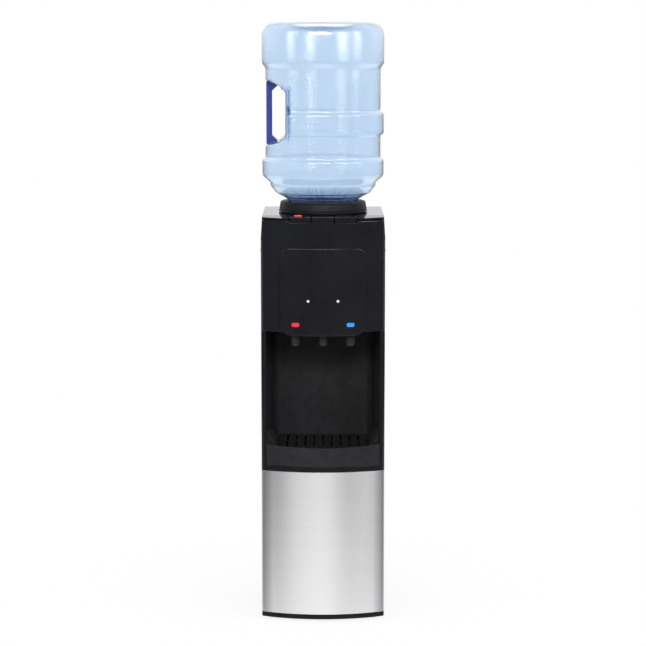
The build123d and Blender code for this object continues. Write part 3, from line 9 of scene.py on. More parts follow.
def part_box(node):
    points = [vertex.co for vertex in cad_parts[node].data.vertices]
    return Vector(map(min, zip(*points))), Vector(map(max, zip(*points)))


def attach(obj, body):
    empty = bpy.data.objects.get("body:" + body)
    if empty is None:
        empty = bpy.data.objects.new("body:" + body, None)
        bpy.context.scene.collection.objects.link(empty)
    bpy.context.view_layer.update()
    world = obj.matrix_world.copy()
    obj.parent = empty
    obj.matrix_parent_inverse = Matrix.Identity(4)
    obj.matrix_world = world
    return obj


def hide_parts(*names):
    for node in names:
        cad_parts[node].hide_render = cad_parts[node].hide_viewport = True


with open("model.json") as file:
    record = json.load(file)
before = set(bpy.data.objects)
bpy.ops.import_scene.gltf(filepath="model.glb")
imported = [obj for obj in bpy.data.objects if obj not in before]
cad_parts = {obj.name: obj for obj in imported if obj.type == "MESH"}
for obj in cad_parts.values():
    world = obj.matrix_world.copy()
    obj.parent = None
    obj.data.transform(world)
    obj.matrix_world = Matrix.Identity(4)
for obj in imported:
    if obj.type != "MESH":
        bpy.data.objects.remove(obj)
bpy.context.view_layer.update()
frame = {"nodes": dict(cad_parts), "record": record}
bpy.context.scene.view_settings.view_transform = "Standard"


# Sizes that several pieces and finishes share, in metres

bottle_low, bottle_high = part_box("bottle_shell")
top_z = bottle_high.z
scoop_wall = 0.083
scoop_low, scoop_high = top_z - 0.258, top_z - 0.146
scoop_mouth = 0.1425
scoop_flare_low, scoop_flare_high = 0.020, 0.025
scoop_corner = 0.012
scoop_lip = 0.0045
post_edge, sheet_edge = 0.1272, 0.126
mould_half, side_reach = 0.135, 0.1379


# Camera, lamps, floor

def place_camera():
    """Camera 4.5 m in front of the cooler, about as high as its bottle, looking slightly down."""
    data = bpy.data.cameras.new("studio_camera")
    data.lens = 114.7
    data.sensor_width = 36.0
    data.clip_end = 50.0
    camera = bpy.data.objects.new("studio_camera", data)
    camera.location = (0.0, -4.656, 1.314)
    camera.rotation_euler = (math.radians(82.0), 0.0, 0.0)
    bpy.context.scene.collection.objects.link(camera)
    bpy.context.scene.camera = camera


def softbox(name, place, target, width, height, power, glossy=True):
    """A rectangular studio lamp aimed at a point."""
    data = bpy.data.lights.new(name, "AREA")
    data.shape = "RECTANGLE"
    data.size = width
    data.size_y = height
    data.energy = power
    lamp = bpy.data.objects.new(name, data)
    lamp.location = place
    aim = Vector(target) - Vector(place)
    lamp.rotation_euler = aim.to_track_quat("-Z", "Y").to_euler()
    lamp.visible_camera = False
    lamp.visible_transmission = False
    lamp.visible_glossy = glossy
    bpy.context.scene.collection.objects.link(lamp)


class Tree:
    """Short ways to add nodes to a tree."""

    def __init__(self, tree):
        self.tree = tree
        tree.nodes.clear()

    def node(self, kind, **settings):
        node = self.tree.nodes.new(kind)
        inputs = settings.pop("inputs", {})
        for key, value in settings.items():
            setattr(node, key, value)
        for key, value in inputs.items():
            if isinstance(value, bpy.types.NodeSocket):
                self.tree.links.new(value, node.inputs[key])
            else:
                node.inputs[key].default_value = value
        return node

    def maths(self, operation, a, b=0.0, clamp=False):
        inputs = {0: a, 1: b}
        return self.node("ShaderNodeMath", operation=operation, use_clamp=clamp, inputs=inputs).outputs[0]

    def span(self, source, low, high, start=0.0, end=1.0):
        inputs = {0: source, 1: low, 2: high, 3: start, 4: end}
        return self.node("ShaderNodeMapRange", inputs=inputs).outputs[0]


def make_world():
    """White to the camera and through the bottle, dim in front and below to gloss, and a mild fill."""
    world = bpy.data.worlds.new("studio")
    bpy.context.scene.world = world
    world.use_nodes = True
    t = Tree(world.node_tree)
    rays = t.node("ShaderNodeLightPath")
    place = t.node("ShaderNodeTexCoord")
    split = t.node("ShaderNodeSeparateXYZ", inputs={0: place.outputs["Generated"]})
    depth = t.span(split.outputs["Y"], -0.30, 0.45, 0.10, 1.0)
    above = t.span(split.outputs["Z"], -0.05, 0.04, 0.20, 1.0)
    room = t.node("ShaderNodeBackground", inputs={"Strength": t.maths("MULTIPLY", depth, above)})
    room.inputs["Color"].default_value = (0.97, 0.98, 1.0, 1.0)
    fill = t.node("ShaderNodeBackground", inputs={"Strength": 0.40})
    fill.inputs["Color"].default_value = (1.0, 1.0, 1.0, 1.0)
    seen = t.node("ShaderNodeMixShader", inputs={0: rays.outputs["Is Glossy Ray"], 1: fill.outputs[0],
                                                 2: room.outputs[0]})
    white = t.node("ShaderNodeBackground", inputs={"Strength": 1.0})
    white.inputs["Color"].default_value = (1.0, 1.0, 1.0, 1.0)
    clear = t.maths("MAXIMUM", rays.outputs["Is Camera Ray"], rays.outputs["Is Transmission Ray"])
    last = t.node("ShaderNodeMixShader", inputs={0: clear, 1: seen.outputs[0], 2: white.outputs[0]})
    t.node("ShaderNodeOutputWorld", inputs={0: last.outputs[0]})


def lay_floor():
    """Pale floor, white away from the cooler, that keeps a faint shadow beside it."""
    mesh = bpy.data.meshes.new("floor")
    side, front, back = 2.4, -1.1, 2.6
    corners = [(-side, front, 0), (side, front, 0), (side, back, 0), (-side, back, 0)]
    mesh.from_pydata(corners, [], [(0, 1, 2, 3)])
    floor = bpy.data.objects.new("floor", mesh)
    bpy.context.scene.collection.objects.link(floor)
    material = bpy.data.materials.new("studio_floor")
    material.use_nodes = True
    t = Tree(material.node_tree)
    rays = t.node("ShaderNodeLightPath")
    place = t.node("ShaderNodeTexCoord")
    far_off = t.node("ShaderNodeVectorMath", operation="LENGTH", inputs={0: place.outputs["Object"]})
    paint = t.node("ShaderNodeBsdfDiffuse", inputs={"Color": (0.86, 0.86, 0.86, 1.0)})
    glow = t.node("ShaderNodeEmission", inputs={"Color": (1.0, 1.0, 1.0, 1.0)})
    whiter = t.span(far_off.outputs["Value"], 0.2, 0.75, 0.88, 1.0)
    aside = t.node("ShaderNodeSeparateXYZ", inputs={0: place.outputs["Object"]})
    beside = t.span(t.maths("ABSOLUTE", aside.outputs[0]), 0.15, 0.80, 1.0, 0.45)
    ahead = t.span(aside.outputs[1], -0.2, 0.1)
    mirrored = t.maths("MAXIMUM", beside, ahead)
    t.tree.links.new(t.maths("MAXIMUM", mirrored, t.maths("SUBTRACT", 1.0, rays.outputs["Is Glossy Ray"])),
                     glow.inputs["Strength"])
    seen = t.maths("ADD", rays.outputs["Is Camera Ray"], rays.outputs["Is Transmission Ray"])
    share = t.maths("ADD", t.maths("MULTIPLY", seen, whiter), rays.outputs["Is Glossy Ray"], clamp=True)
    mix = t.node("ShaderNodeMixShader", inputs={0: share, 1: paint.outputs[0], 2: glow.outputs[0]})
    t.node("ShaderNodeOutputMaterial", inputs={0: mix.outputs[0]})
    mesh.materials.append(material)


place_camera()
make_world()
lay_floor()
softbox("left_front_box", (-1.25, -3.0, 2.05), (0, 0, 1.2), 0.75, 1.6, 22)
softbox("right_front_box", (1.85, -2.5, 2.05), (0, 0, 1.2), 0.95, 1.6, 28)
softbox("left_side_box", (-2.7, -1.45, 2.05), (0, 0, 1.2), 0.7, 1.6, 16)
softbox("right_side_box", (2.8, -1.2, 2.05), (0, 0, 1.2), 0.7, 1.6, 16)
softbox("high_front_lamp", (0.0, -4.4, 2.9), (0, 0, 0.5), 2.0, 0.8, 105)
softbox("overhead_lamp", (0.0, 0.4, 3.4), (0, 0, 0.9), 1.6, 1.2, 30)
softbox("rear_lamp", (0.0, 4.4, 1.75), (0, 0, 0.9), 3.2, 1.3, 34, glossy=False)


# Finishes

def grain(t, scale, stretch=(1.0, 1.0, 1.0), detail=3.0, roughness=0.55):
    """Noise over the object's own coordinates, stretched along the axes."""
    place = t.node("ShaderNodeTexCoord")
    turn = t.node("ShaderNodeMapping", inputs={"Vector": place.outputs["Object"], "Scale": stretch})
    return t.node("ShaderNodeTexNoise", inputs={"Vector": turn.outputs[0], "Scale": scale, "Detail": detail,
                                                "Roughness": roughness}).outputs[0]


def tint(t, source, low, high, at=(0.35, 0.65)):
    """Colour ramp between two colours."""
    ramp = t.node("ShaderNodeValToRGB", inputs={0: source})
    ramp.color_ramp.elements[0].position = at[0]
    ramp.color_ramp.elements[0].color = (*low, 1.0)
    ramp.color_ramp.elements[1].position = at[1]
    ramp.color_ramp.elements[1].color = (*high, 1.0)
    return ramp.outputs[0]


def blend_colours(t, share, low, high):
    """One colour over another by a share."""
    return t.node("ShaderNodeMix", data_type="RGBA", inputs={0: share, 6: low, 7: high}).outputs[2]


def bump(t, height, strength, distance):
    """Small relief from a height."""
    return t.node("ShaderNodeBump", inputs={"Strength": strength, "Distance": distance,
                                            "Height": height}).outputs[0]


def finish(name, colour, rough, metal=0.0, vary=0.12, scale=60.0, stretch=(1, 1, 1), relief=0.02,
           relief_scale=900.0, depth=0.0002, specular=0.5):
    """Moulded, painted or metal finish with colour and gloss that vary and a fine surface texture."""
    material = bpy.data.materials.new(name)
    material.use_nodes = True
    t = Tree(material.node_tree)
    broad = grain(t, scale, stretch)
    fine = grain(t, relief_scale, detail=2.0)
    low = tuple(c * (1.0 - vary) for c in colour)
    high = tuple(min(1.0, c * (1.0 + vary)) for c in colour)
    surface = t.node("ShaderNodeBsdfPrincipled", inputs={
        "Base Color": tint(t, broad, low, high),
        "Roughness": t.span(broad, 0.3, 0.7, rough * 0.9, rough * 1.1),
        "Metallic": metal,
        "Specular IOR Level": specular,
        "Normal": bump(t, fine, relief, depth),
    })
    t.node("ShaderNodeOutputMaterial", inputs={0: surface.outputs[0]})
    return material


def brushed_steel(name):
    """Stainless sheet brushed from side to side, with painted shade in bands near its bent edges."""
    material = bpy.data.materials.new(name)
    material.use_nodes = True
    t = Tree(material.node_tree)
    streaks = grain(t, 1.0, (5.0, 5.0, 2200.0), detail=4.0, roughness=0.7)
    broad = grain(t, 1.0, (1.2, 1.2, 60.0), detail=2.0)
    both = t.node("ShaderNodeMath", operation="MULTIPLY_ADD",
                  inputs={0: streaks, 1: 0.75, 2: t.span(broad, 0.3, 0.7, 0.1, 0.15)})
    place = t.node("ShaderNodeTexCoord")
    aside = t.node("ShaderNodeSeparateXYZ", inputs={0: place.outputs["Object"]})
    far = t.maths("ABSOLUTE", aside.outputs[0])
    # Painted shade: the base colour darkens towards each bent edge and eases off again over the bend itself.
    band, band_full, bend_start, bend_end = 0.112, 0.132, 0.134, 0.1385
    painted_bend_shade = t.maths("MULTIPLY", t.span(far, band, band_full), t.span(far, bend_end, bend_start, 0.4, 1.0))
    tone = tint(t, both.outputs[0], (0.76, 0.76, 0.77), (0.82, 0.82, 0.83))
    surface = t.node("ShaderNodeBsdfPrincipled", inputs={
        "Base Color": blend_colours(t, painted_bend_shade, tone, (0.42, 0.42, 0.43, 1.0)),
        "Roughness": t.span(streaks, 0.3, 0.7, 0.36, 0.42),
        "Metallic": 1.0,
        "Anisotropic": 0.75,
        "Anisotropic Rotation": 0.25,
        "Normal": bump(t, streaks, 0.05, 0.00004),
    })
    t.node("ShaderNodeOutputMaterial", inputs={0: surface.outputs[0]})
    return material


def clear_plastic(name, colour):
    """Blown blue plastic: faint waves and pebbled gloss, with painted shade tinting the neck and the middle
    of the domed top dark, and painted shade on the scoop: its wall a deeper blue with a darker line along its
    fold.
    """
    rough = 0.04
    neck_top, neck_fade = 0.964, 0.950
    dome_edge, dome_full = 1.305, 1.315
    dome_out, dome_in = 0.088, 0.040
    fade = 0.004
    rim_x, fold_line_x, blur = -0.0738, -0.0772, 0.001
    material = bpy.data.materials.new(name)
    material.use_nodes = True
    t = Tree(material.node_tree)
    place = t.node("ShaderNodeTexCoord")
    split = t.node("ShaderNodeSeparateXYZ", inputs={0: place.outputs["Object"]})
    flat = t.node("ShaderNodeCombineXYZ", inputs={0: split.outputs[0], 1: split.outputs[1]}).outputs[0]
    around = t.node("ShaderNodeVectorMath", operation="NORMALIZE", inputs={0: flat}).outputs[0]
    out = t.node("ShaderNodeVectorMath", operation="LENGTH", inputs={0: flat}).outputs["Value"]
    streaks = t.node("ShaderNodeTexNoise", inputs={"Vector": around, "Scale": 26.0, "Detail": 3.0}).outputs[0]
    # Painted shade: dark blue streaks over the lower neck, standing in for the dark collar and its well seen
    # through the plastic.
    painted_neck_shade = t.span(split.outputs[2], neck_top, neck_fade)
    painted_neck_shade = t.maths("MULTIPLY", painted_neck_shade, t.span(streaks, 0.35, 0.62, 0.5, 1.0))
    # Painted shade: a dark speckled patch in the middle of the top, where the pushed-in base is seen through
    # the wall.
    painted_dome_shade = t.maths("MULTIPLY", t.span(split.outputs[2], dome_edge, dome_full), t.span(out, dome_out, dome_in))
    # Painted shade: the scoop's wall is tinted a deeper blue, and a darker line runs along its fold.
    fold = t.maths("MULTIPLY", t.span(split.outputs[2], scoop_low - fade, scoop_low + fade),
                   t.span(split.outputs[2], scoop_high + fade, scoop_high - fade))
    rim = t.maths("MULTIPLY", fold, t.span(split.outputs[0], rim_x, rim_x - blur))
    seam = t.maths("MULTIPLY", rim, t.span(split.outputs[0], fold_line_x, fold_line_x + blur))
    patch = grain(t, 120.0, (1.0, 1.0, 3.0), detail=4.0, roughness=0.7)
    painted_dome_shade = t.maths("MULTIPLY", painted_dome_shade, t.span(patch, 0.40, 0.56))
    waves = grain(t, 30.0, (1.0, 1.0, 0.5), detail=2.0)
    pebbles = grain(t, 230.0, detail=2.0)
    body = tint(t, waves, tuple(c * 0.985 for c in colour), colour)
    body = blend_colours(t, painted_neck_shade, body, (0.22, 0.32, 0.52, 1.0))
    body = blend_colours(t, painted_dome_shade, body, (0.04, 0.08, 0.18, 1.0))
    body = blend_colours(t, rim, body, (0.58, 0.69, 0.90, 1.0))
    body = blend_colours(t, seam, body, (0.36, 0.47, 0.74, 1.0))
    surface = t.node("ShaderNodeBsdfPrincipled", inputs={
        "Base Color": body,
        "Roughness": t.span(waves, 0.3, 0.7, rough * 0.7, rough * 1.3),
        "IOR": 1.09,
        "Transmission Weight": 1.0,
        "Normal": bump(t, waves, 0.30, 0.0012),
        "Coat Weight": 1.0,
        "Coat Roughness": 0.05,
        "Coat IOR": 1.85,
        "Coat Normal": bump(t, pebbles, 0.6, 0.0009),
    })
    t.node("ShaderNodeOutputMaterial", inputs={0: surface.outputs[0]})
    return material


finishes = {
    "black_gloss": finish("gloss_black_moulding", (0.0115, 0.0118, 0.0145), 0.13, specular=0.42, vary=0.1,
                          scale=12.0, relief=0.015, relief_scale=260.0),
    "black_satin": finish("satin_black_moulding", (0.010, 0.010, 0.011), 0.42, specular=0.35, relief=0.12,
                          relief_scale=1500.0),
    "charcoal_plastic": finish("charcoal_moulding", (0.016, 0.016, 0.018), 0.34, specular=0.4, relief=0.06,
                               relief_scale=1300.0),
    "steel_brushed": brushed_steel("brushed_stainless_sheet"),
    "black_sheet": finish("black_coated_sheet", (0.020, 0.020, 0.022), 0.38, relief=0.18, relief_scale=700.0),
    "bottle_blue": clear_plastic("blue_bottle_plastic", (0.76, 0.87, 0.995)),
    "handle_navy": finish("navy_handle_moulding", (0.050, 0.062, 0.30), 0.22, vary=0.08, relief=0.03),
    "cap_blue": finish("blue_cap_moulding", (0.10, 0.22, 0.60), 0.35, relief=0.05),
    "marker_red": finish("red_marker_plastic", (0.76, 0.045, 0.055), 0.25, relief=0.02),
    "marker_blue": finish("blue_marker_plastic", (0.05, 0.26, 0.78), 0.25, relief=0.02),
    "lens_white": finish("white_lens_plastic", (0.62, 0.62, 0.63), 0.25, vary=0.03, relief=0.02),
    "stainless": finish("plain_stainless", (0.55, 0.55, 0.56), 0.3, metal=1.0, stretch=(1, 1, 8)),
    "foam_white": finish("white_foam", (0.80, 0.80, 0.78), 0.85, vary=0.06, relief=0.4, relief_scale=240.0,
                         depth=0.001),
    "copper_tube": finish("dull_copper", (0.60, 0.27, 0.15), 0.34, metal=1.0, vary=0.2, scale=40.0),
    "aluminium_sheet": finish("rolled_aluminium", (0.62, 0.62, 0.64), 0.34, metal=1.0, stretch=(1, 1, 10)),
    "compressor_black": finish("black_can_paint", (0.010, 0.010, 0.010), 0.28, vary=0.3, scale=30.0,
                               relief=0.1, relief_scale=500.0),
    "rubber_black": finish("black_rubber", (0.016, 0.016, 0.016), 0.7, specular=0.3, relief=0.2),
    "silicone_clear": finish("milky_silicone", (0.72, 0.72, 0.67), 0.4, vary=0.04, relief=0.03),
    "foot_grey": finish("grey_green_foot", (0.50, 0.58, 0.54), 0.45, vary=0.06, relief=0.08),
    "screw_steel": finish("dark_zinc", (0.26, 0.26, 0.27), 0.35, metal=1.0),
    "mica_white": finish("mica_band", (0.64, 0.58, 0.46), 0.6, vary=0.15, relief=0.2),
    "rocker_red": finish("red_rocker_plastic", (0.55, 0.02, 0.02), 0.25),
    "rocker_green": finish("green_rocker_plastic", (0.03, 0.30, 0.08), 0.25),
}
side_paint = finish("graphite_side_paint", (0.050, 0.050, 0.053), 0.36, vary=0.04, scale=9.0, relief=0.03,
                    relief_scale=500.0)
cover_gloss = finish("glossy_cover_moulding", (0.0085, 0.0085, 0.0095), 0.05, specular=0.9, vary=0.05,
                     scale=12.0, relief=0.004, relief_scale=260.0)
base_plastic = finish("base_moulding", (0.008, 0.008, 0.009), 0.45, specular=0.12, relief=0.05)
collar_plastic = finish("collar_moulding", (0.0075, 0.0075, 0.009), 0.48, specular=0.18, relief=0.03,
                        relief_scale=400.0)
# Painted shade: darker and with far less gloss than the other black mouldings, standing in for the shade of
# the bay over the grille.
shaded_grille_black = finish("shaded_grille_moulding", (0.0025, 0.0025, 0.003), 0.30, specular=0.04, relief=0.02)
nozzle_plastic = finish("nozzle_moulding", (0.016, 0.016, 0.018), 0.40, specular=0.4, relief=0.04)

slot_of = {part["node"]: part["material_slot"] for part in frame["record"]["subparts"]}
body_of = {node: body for body, nodes in frame["record"]["behaviour"]["bodies"].items() for node in nodes}


# Making and placing pieces

def settle(piece, node=None, body=None, slot=None, material=None):
    """Give a finished mesh its finish and its body, and hide the solid that it stands for."""
    slot = slot or slot_of[node]
    piece.data.materials.clear()
    piece.data.materials.append(material or finishes[slot])
    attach(piece, body or body_of[node])
    if node:
        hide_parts(node)


def as_mesh(piece):
    """The piece with its modifiers turned into plain mesh."""
    depsgraph = bpy.context.evaluated_depsgraph_get()
    mesh = bpy.data.meshes.new_from_object(piece.evaluated_get(depsgraph))
    mesh.name = piece.name
    piece.modifiers.clear()
    piece.data = mesh
    return piece


def add_piece(name, mesh):
    """A new object at the origin."""
    piece = bpy.data.objects.new(name, mesh)
    bpy.context.scene.collection.objects.link(piece)
    return piece


def round_edges(piece, radius, segments=2):
    """Bevel the sharp edges of a piece and even out its shading."""
    edge = piece.modifiers.new("rounded_edges", "BEVEL")
    edge.width = radius
    edge.segments = segments
    edge.limit_method = "ANGLE"
    edge.angle_limit = math.radians(30.0)
    edge.use_clamp_overlap = True
    even = piece.modifiers.new("even_shading", "WEIGHTED_NORMAL")
    even.keep_sharp = True
    return as_mesh(piece)


def merged_copy(node):
    """A solid's mesh as a bmesh with its triangles joined and its flat faces made whole."""
    shape = bmesh.new()
    shape.from_mesh(frame["nodes"][node].data)
    bmesh.ops.remove_doubles(shape, verts=shape.verts, dist=0.00001)
    bmesh.ops.dissolve_limit(shape, angle_limit=math.radians(0.6), verts=shape.verts, edges=shape.edges)
    return shape


def moulded(node, radius, material=None, widen=None):
    """A copy of a solid, its edges rounded and its curves smooth, and its sides spread where widen says."""
    shape = merged_copy(node)
    if widen:
        inner, outer, reach = widen
        for vert in shape.verts:
            out = abs(vert.co.x) - inner
            if out > 0:
                vert.co.x = math.copysign(inner + out * (reach - inner) / (outer - inner), vert.co.x)
    piece = finished_shape(node + "_finished", shape, crease=30.0, outwards=False)
    settle(round_edges(piece, radius), node, material=material)


def finished_shape(name, shape, crease=40.0, outwards=True):
    """A smooth shaded mesh object with its faces turned outwards."""
    if outwards:
        bmesh.ops.remove_doubles(shape, verts=shape.verts, dist=0.000001)
        bmesh.ops.recalc_face_normals(shape, faces=shape.faces)
    for face in shape.faces:
        face.smooth = True
    mesh = bpy.data.meshes.new(name)
    shape.to_mesh(mesh)
    shape.free()
    mesh.set_sharp_from_angle(angle=math.radians(crease))
    return add_piece(name, mesh)


def rounded_path(corners, steps=6):
    """Points along a path of (distance, height, corner radius), with its corners rounded."""
    path = []
    for i, (r, z, radius) in enumerate(corners):
        here = Vector((r, z))
        if radius <= 0 or i == 0 or i == len(corners) - 1:
            path.append(here)
            continue
        back = (Vector(corners[i - 1][:2]) - here).normalized()
        ahead = (Vector(corners[i + 1][:2]) - here).normalized()
        half = back.angle(ahead) / 2
        reach = radius / math.tan(half)
        centre = here + (back + ahead).normalized() * (radius / math.sin(half))
        first, last = here + back * reach - centre, here + ahead * reach - centre
        turn = first.angle_signed(last)
        for k in range(steps + 1):
            path.append(centre + Matrix.Rotation(-turn * k / steps, 2) @ first)
    return path


def skin(shape, rings):
    """Faces between neighbouring rings of points, with a fan where a ring is one point."""
    for low, high in zip(rings, rings[1:]):
        count = max(len(low), len(high))
        for k in range(count):
            n = (k + 1) % count
            if count == 1:
                continue
            if len(low) == 1:
                shape.faces.new((low[0], high[n], high[k]))
            elif len(high) == 1:
                shape.faces.new((low[k], low[n], high[0]))
            else:
                shape.faces.new((low[k], low[n], high[n], high[k]))


def spin_into(shape, corners, place=(0, 0, 0), turn=None, segments=96, ribs=0, rib_depth=0.0, rib_from=0.0):
    """Turn a path about an axis into a bmesh, with flutes on what lies beyond a radius."""
    move = Matrix.Translation(place) @ (turn.to_4x4() if turn else Matrix.Identity(4))
    rings = []
    for point in rounded_path([(r / 1000, z / 1000, c / 1000) for r, z, c in corners]):
        if point.x < 1e-6:
            rings.append([shape.verts.new(move @ Vector((0, 0, point.y)))])
            continue
        ring = []
        for k in range(segments):
            angle = 2 * math.pi * k / segments
            reach = point.x
            if ribs and point.x >= rib_from:
                reach -= rib_depth * (0.5 - 0.5 * math.cos(ribs * angle))
            spot = Vector((reach * math.cos(angle), reach * math.sin(angle), point.y))
            ring.append(shape.verts.new(move @ spot))
        rings.append(ring)
    skin(shape, rings)


def turned(name, corners, place=(0, 0, 0), crease=40.0, **options):
    """One turned piece from (radius, height, corner radius) points in millimetres."""
    shape = bmesh.new()
    spin_into(shape, corners, place, **options)
    return finished_shape(name, shape, crease)


def prism_into(shape, section, place):
    """A section of (u, v) points in millimetres, set at its two ends by place(u, v, end)."""
    low = [shape.verts.new(Vector(place(u, v, 0)) / 1000) for u, v in section]
    high = [shape.verts.new(Vector(place(u, v, 1)) / 1000) for u, v in section]
    skin(shape, [low, high])
    shape.faces.new(low)
    shape.faces.new(high)


def bend(route, radii, steps=8):
    """Points along straight runs in millimetres joined by arcs."""
    corners = [Vector(p) / 1000 for p in route]
    path = [corners[0]]
    for i in range(1, len(corners) - 1):
        here = corners[i]
        back = (corners[i - 1] - here).normalized()
        ahead = (corners[i + 1] - here).normalized()
        half = back.angle(ahead) / 2
        radius = radii[i - 1] / 1000
        reach = radius / math.tan(half)
        centre = here + (back + ahead).normalized() * (radius / math.sin(half))
        first = here + back * reach - centre
        last = here + ahead * reach - centre
        for k in range(steps + 1):
            path.append(centre + first.slerp(last, k / steps) * first.length)
    return path + [corners[-1]]


def tube_into(shape, path, radius, sides=14):
    """A round tube along a path, closed at both ends."""
    ahead = (path[1] - path[0]).normalized()
    side = ahead.orthogonal().normalized()
    rings = []
    for i, point in enumerate(path):
        before = (point - path[i - 1]).normalized() if i else ahead
        after = (path[i + 1] - point).normalized() if i + 1 < len(path) else before
        along = (before + after).normalized()
        side = (side - along * side.dot(along)).normalized()
        other = along.cross(side)
        rings.append([shape.verts.new(point + (side * math.cos(a) + other * math.sin(a)) * radius / 1000)
                      for a in (2 * math.pi * k / sides for k in range(sides))])
    skin(shape, rings)
    shape.faces.new(rings[0])
    shape.faces.new(rings[-1])


def make_nodes(name, sizes):
    """An empty geometry tree with named inputs, and the handles to fill it in."""
    group = bpy.data.node_groups.new(name, "GeometryNodeTree")
    group.interface.new_socket("geometry", in_out="INPUT", socket_type="NodeSocketGeometry")
    for size, value in sizes.items():
        kind = {int: "NodeSocketInt", float: "NodeSocketFloat"}.get(type(value), "NodeSocketMaterial")
        group.interface.new_socket(size, in_out="INPUT", socket_type=kind)
    group.interface.new_socket("geometry", in_out="OUTPUT", socket_type="NodeSocketGeometry")
    t = Tree(group)
    return group, t, t.node("NodeGroupInput")


def grown(name, mesh, group, sizes):
    """A mesh run through a geometry tree and turned into plain mesh."""
    piece = add_piece(name, mesh)
    modifier = piece.modifiers.new(name, "NODES")
    modifier.node_group = group
    named = {item.name: item.identifier for item in group.interface.items_tree if item.in_out == "INPUT"}
    for size, value in sizes.items():
        modifier[named[size]] = value
    as_mesh(piece)
    piece.data.set_sharp_from_angle(angle=math.radians(40.0))
    return piece


# Bottle

def soft_least(a, b, blend):
    """The lesser of two lengths, with the change from one to the other rounded off."""
    share = max(blend - abs(a - b), 0.0) / blend
    return min(a, b) - share * share * blend / 4


def scoop_depth(z):
    """Distance of the scoop's wall from the bottle's axis at a height, large outside the scoop."""
    run = scoop_mouth - scoop_wall
    if z < scoop_low + scoop_corner:
        slope, short = run / scoop_flare_low, z - scoop_low
    elif z > scoop_high - scoop_corner:
        slope, short = run / scoop_flare_high, scoop_high - z
    else:
        return scoop_wall
    ramp = scoop_wall - short * slope
    corner = scoop_wall + scoop_corner - math.sqrt(max(0.0, scoop_corner ** 2 - (scoop_corner - short) ** 2))
    if short > 0:
        return corner if short > scoop_lip else max(corner, scoop_wall + (scoop_lip - short) * slope)
    return max(ramp, scoop_wall + scoop_lip * slope * 0.9)


def bottle_side():
    """Half section of the bottle from its mouth to the middle of its top."""
    top = top_z
    return rounded_path([
        (0.0265, bottle_low.z, 0), (0.0265, top - 0.446, 0.003), (0.030, top - 0.442, 0.002),
        (0.0826, top - 0.393, 0.012), (0.106, top - 0.380, 0.012), (0.1187, top - 0.364, 0.005),
        (0.1187, top - 0.357, 0.003), (0.1347, top - 0.343, 0.005), (0.1367, top - 0.337, 0.006),
        (0.1367, top - 0.305, 0.005), (0.1295, top - 0.301, 0.005), (0.1295, top - 0.251, 0.005),
        (0.1367, top - 0.247, 0.005), (0.1367, top - 0.201, 0.005), (0.1295, top - 0.197, 0.005),
        (0.1295, top - 0.101, 0.005), (0.1375, top - 0.089, 0.008), (0.1375, top, 0.028),
        (0.094, top, 0.006), (0.060, top - 0.013, 0.010), (0.0, top - 0.022, 0),
    ])


def make_bottle():
    """Blown bottle with its rings, domed base, scooped handle recess and one wall thickness."""
    segments, wall_thickness, step, blend = 216, 0.0018, 0.0022, 0.006
    fine_low, fine_high = scoop_low - 0.03, scoop_high + 0.035
    scoop_facing = -0.2
    side = bottle_side()
    fine = []
    for a, b in zip(side, side[1:]):
        steps = 1
        if b.y > fine_low and a.y < fine_high:
            steps = max(1, math.ceil(abs(b.y - a.y) / step))
        for k in range(steps):
            fine.append(a.lerp(b, k / steps))
    fine.append(side[-1])
    shape = bmesh.new()
    rings = []
    for point in fine:
        if point.x < 1e-6:
            rings.append([shape.verts.new((0, 0, point.y))])
            continue
        ring = []
        wall = scoop_depth(point.y)
        for k in range(segments):
            angle = 2 * math.pi * k / segments
            along = math.cos(angle)
            reach = point.x
            if along < scoop_facing:
                reach = soft_least(point.x, wall / -along, blend)
            ring.append(shape.verts.new((reach * along, reach * math.sin(angle), point.y)))
        rings.append(ring)
    skin(shape, rings)
    bottle = finished_shape("bottle_wall", shape, crease=60.0)
    shell = bottle.modifiers.new("wall", "SOLIDIFY")
    shell.thickness = wall_thickness
    shell.offset = -1.0
    settle(as_mesh(bottle), "bottle_shell")


def make_lug():
    """Small moulding lug behind the wall of the scoop."""
    shape = bmesh.new()
    low, high = (top_z - 0.209) * 1000, (top_z - 0.185) * 1000
    wall = -scoop_wall * 1000
    half = 7
    section = [(wall + 1.9, low), (wall + 8.5, low + 3), (wall + 10.0, high - 5), (wall + 1.9, high)]
    prism_into(shape, section, lambda u, v, end: (u, -half + 2 * half * end, v))
    piece = finished_shape("scoop_lug", shape)
    settle(round_edges(piece, 0.002, 3), body=body_of["bottle_shell"], slot="bottle_blue",
           material=lug_plastic)


lug_plastic = finish("blue_grey_lug", (0.10, 0.20, 0.42), 0.25, vary=0.2, scale=200.0)
make_bottle()
make_lug()


# Collar, taps, feet and the mouldings round the bay

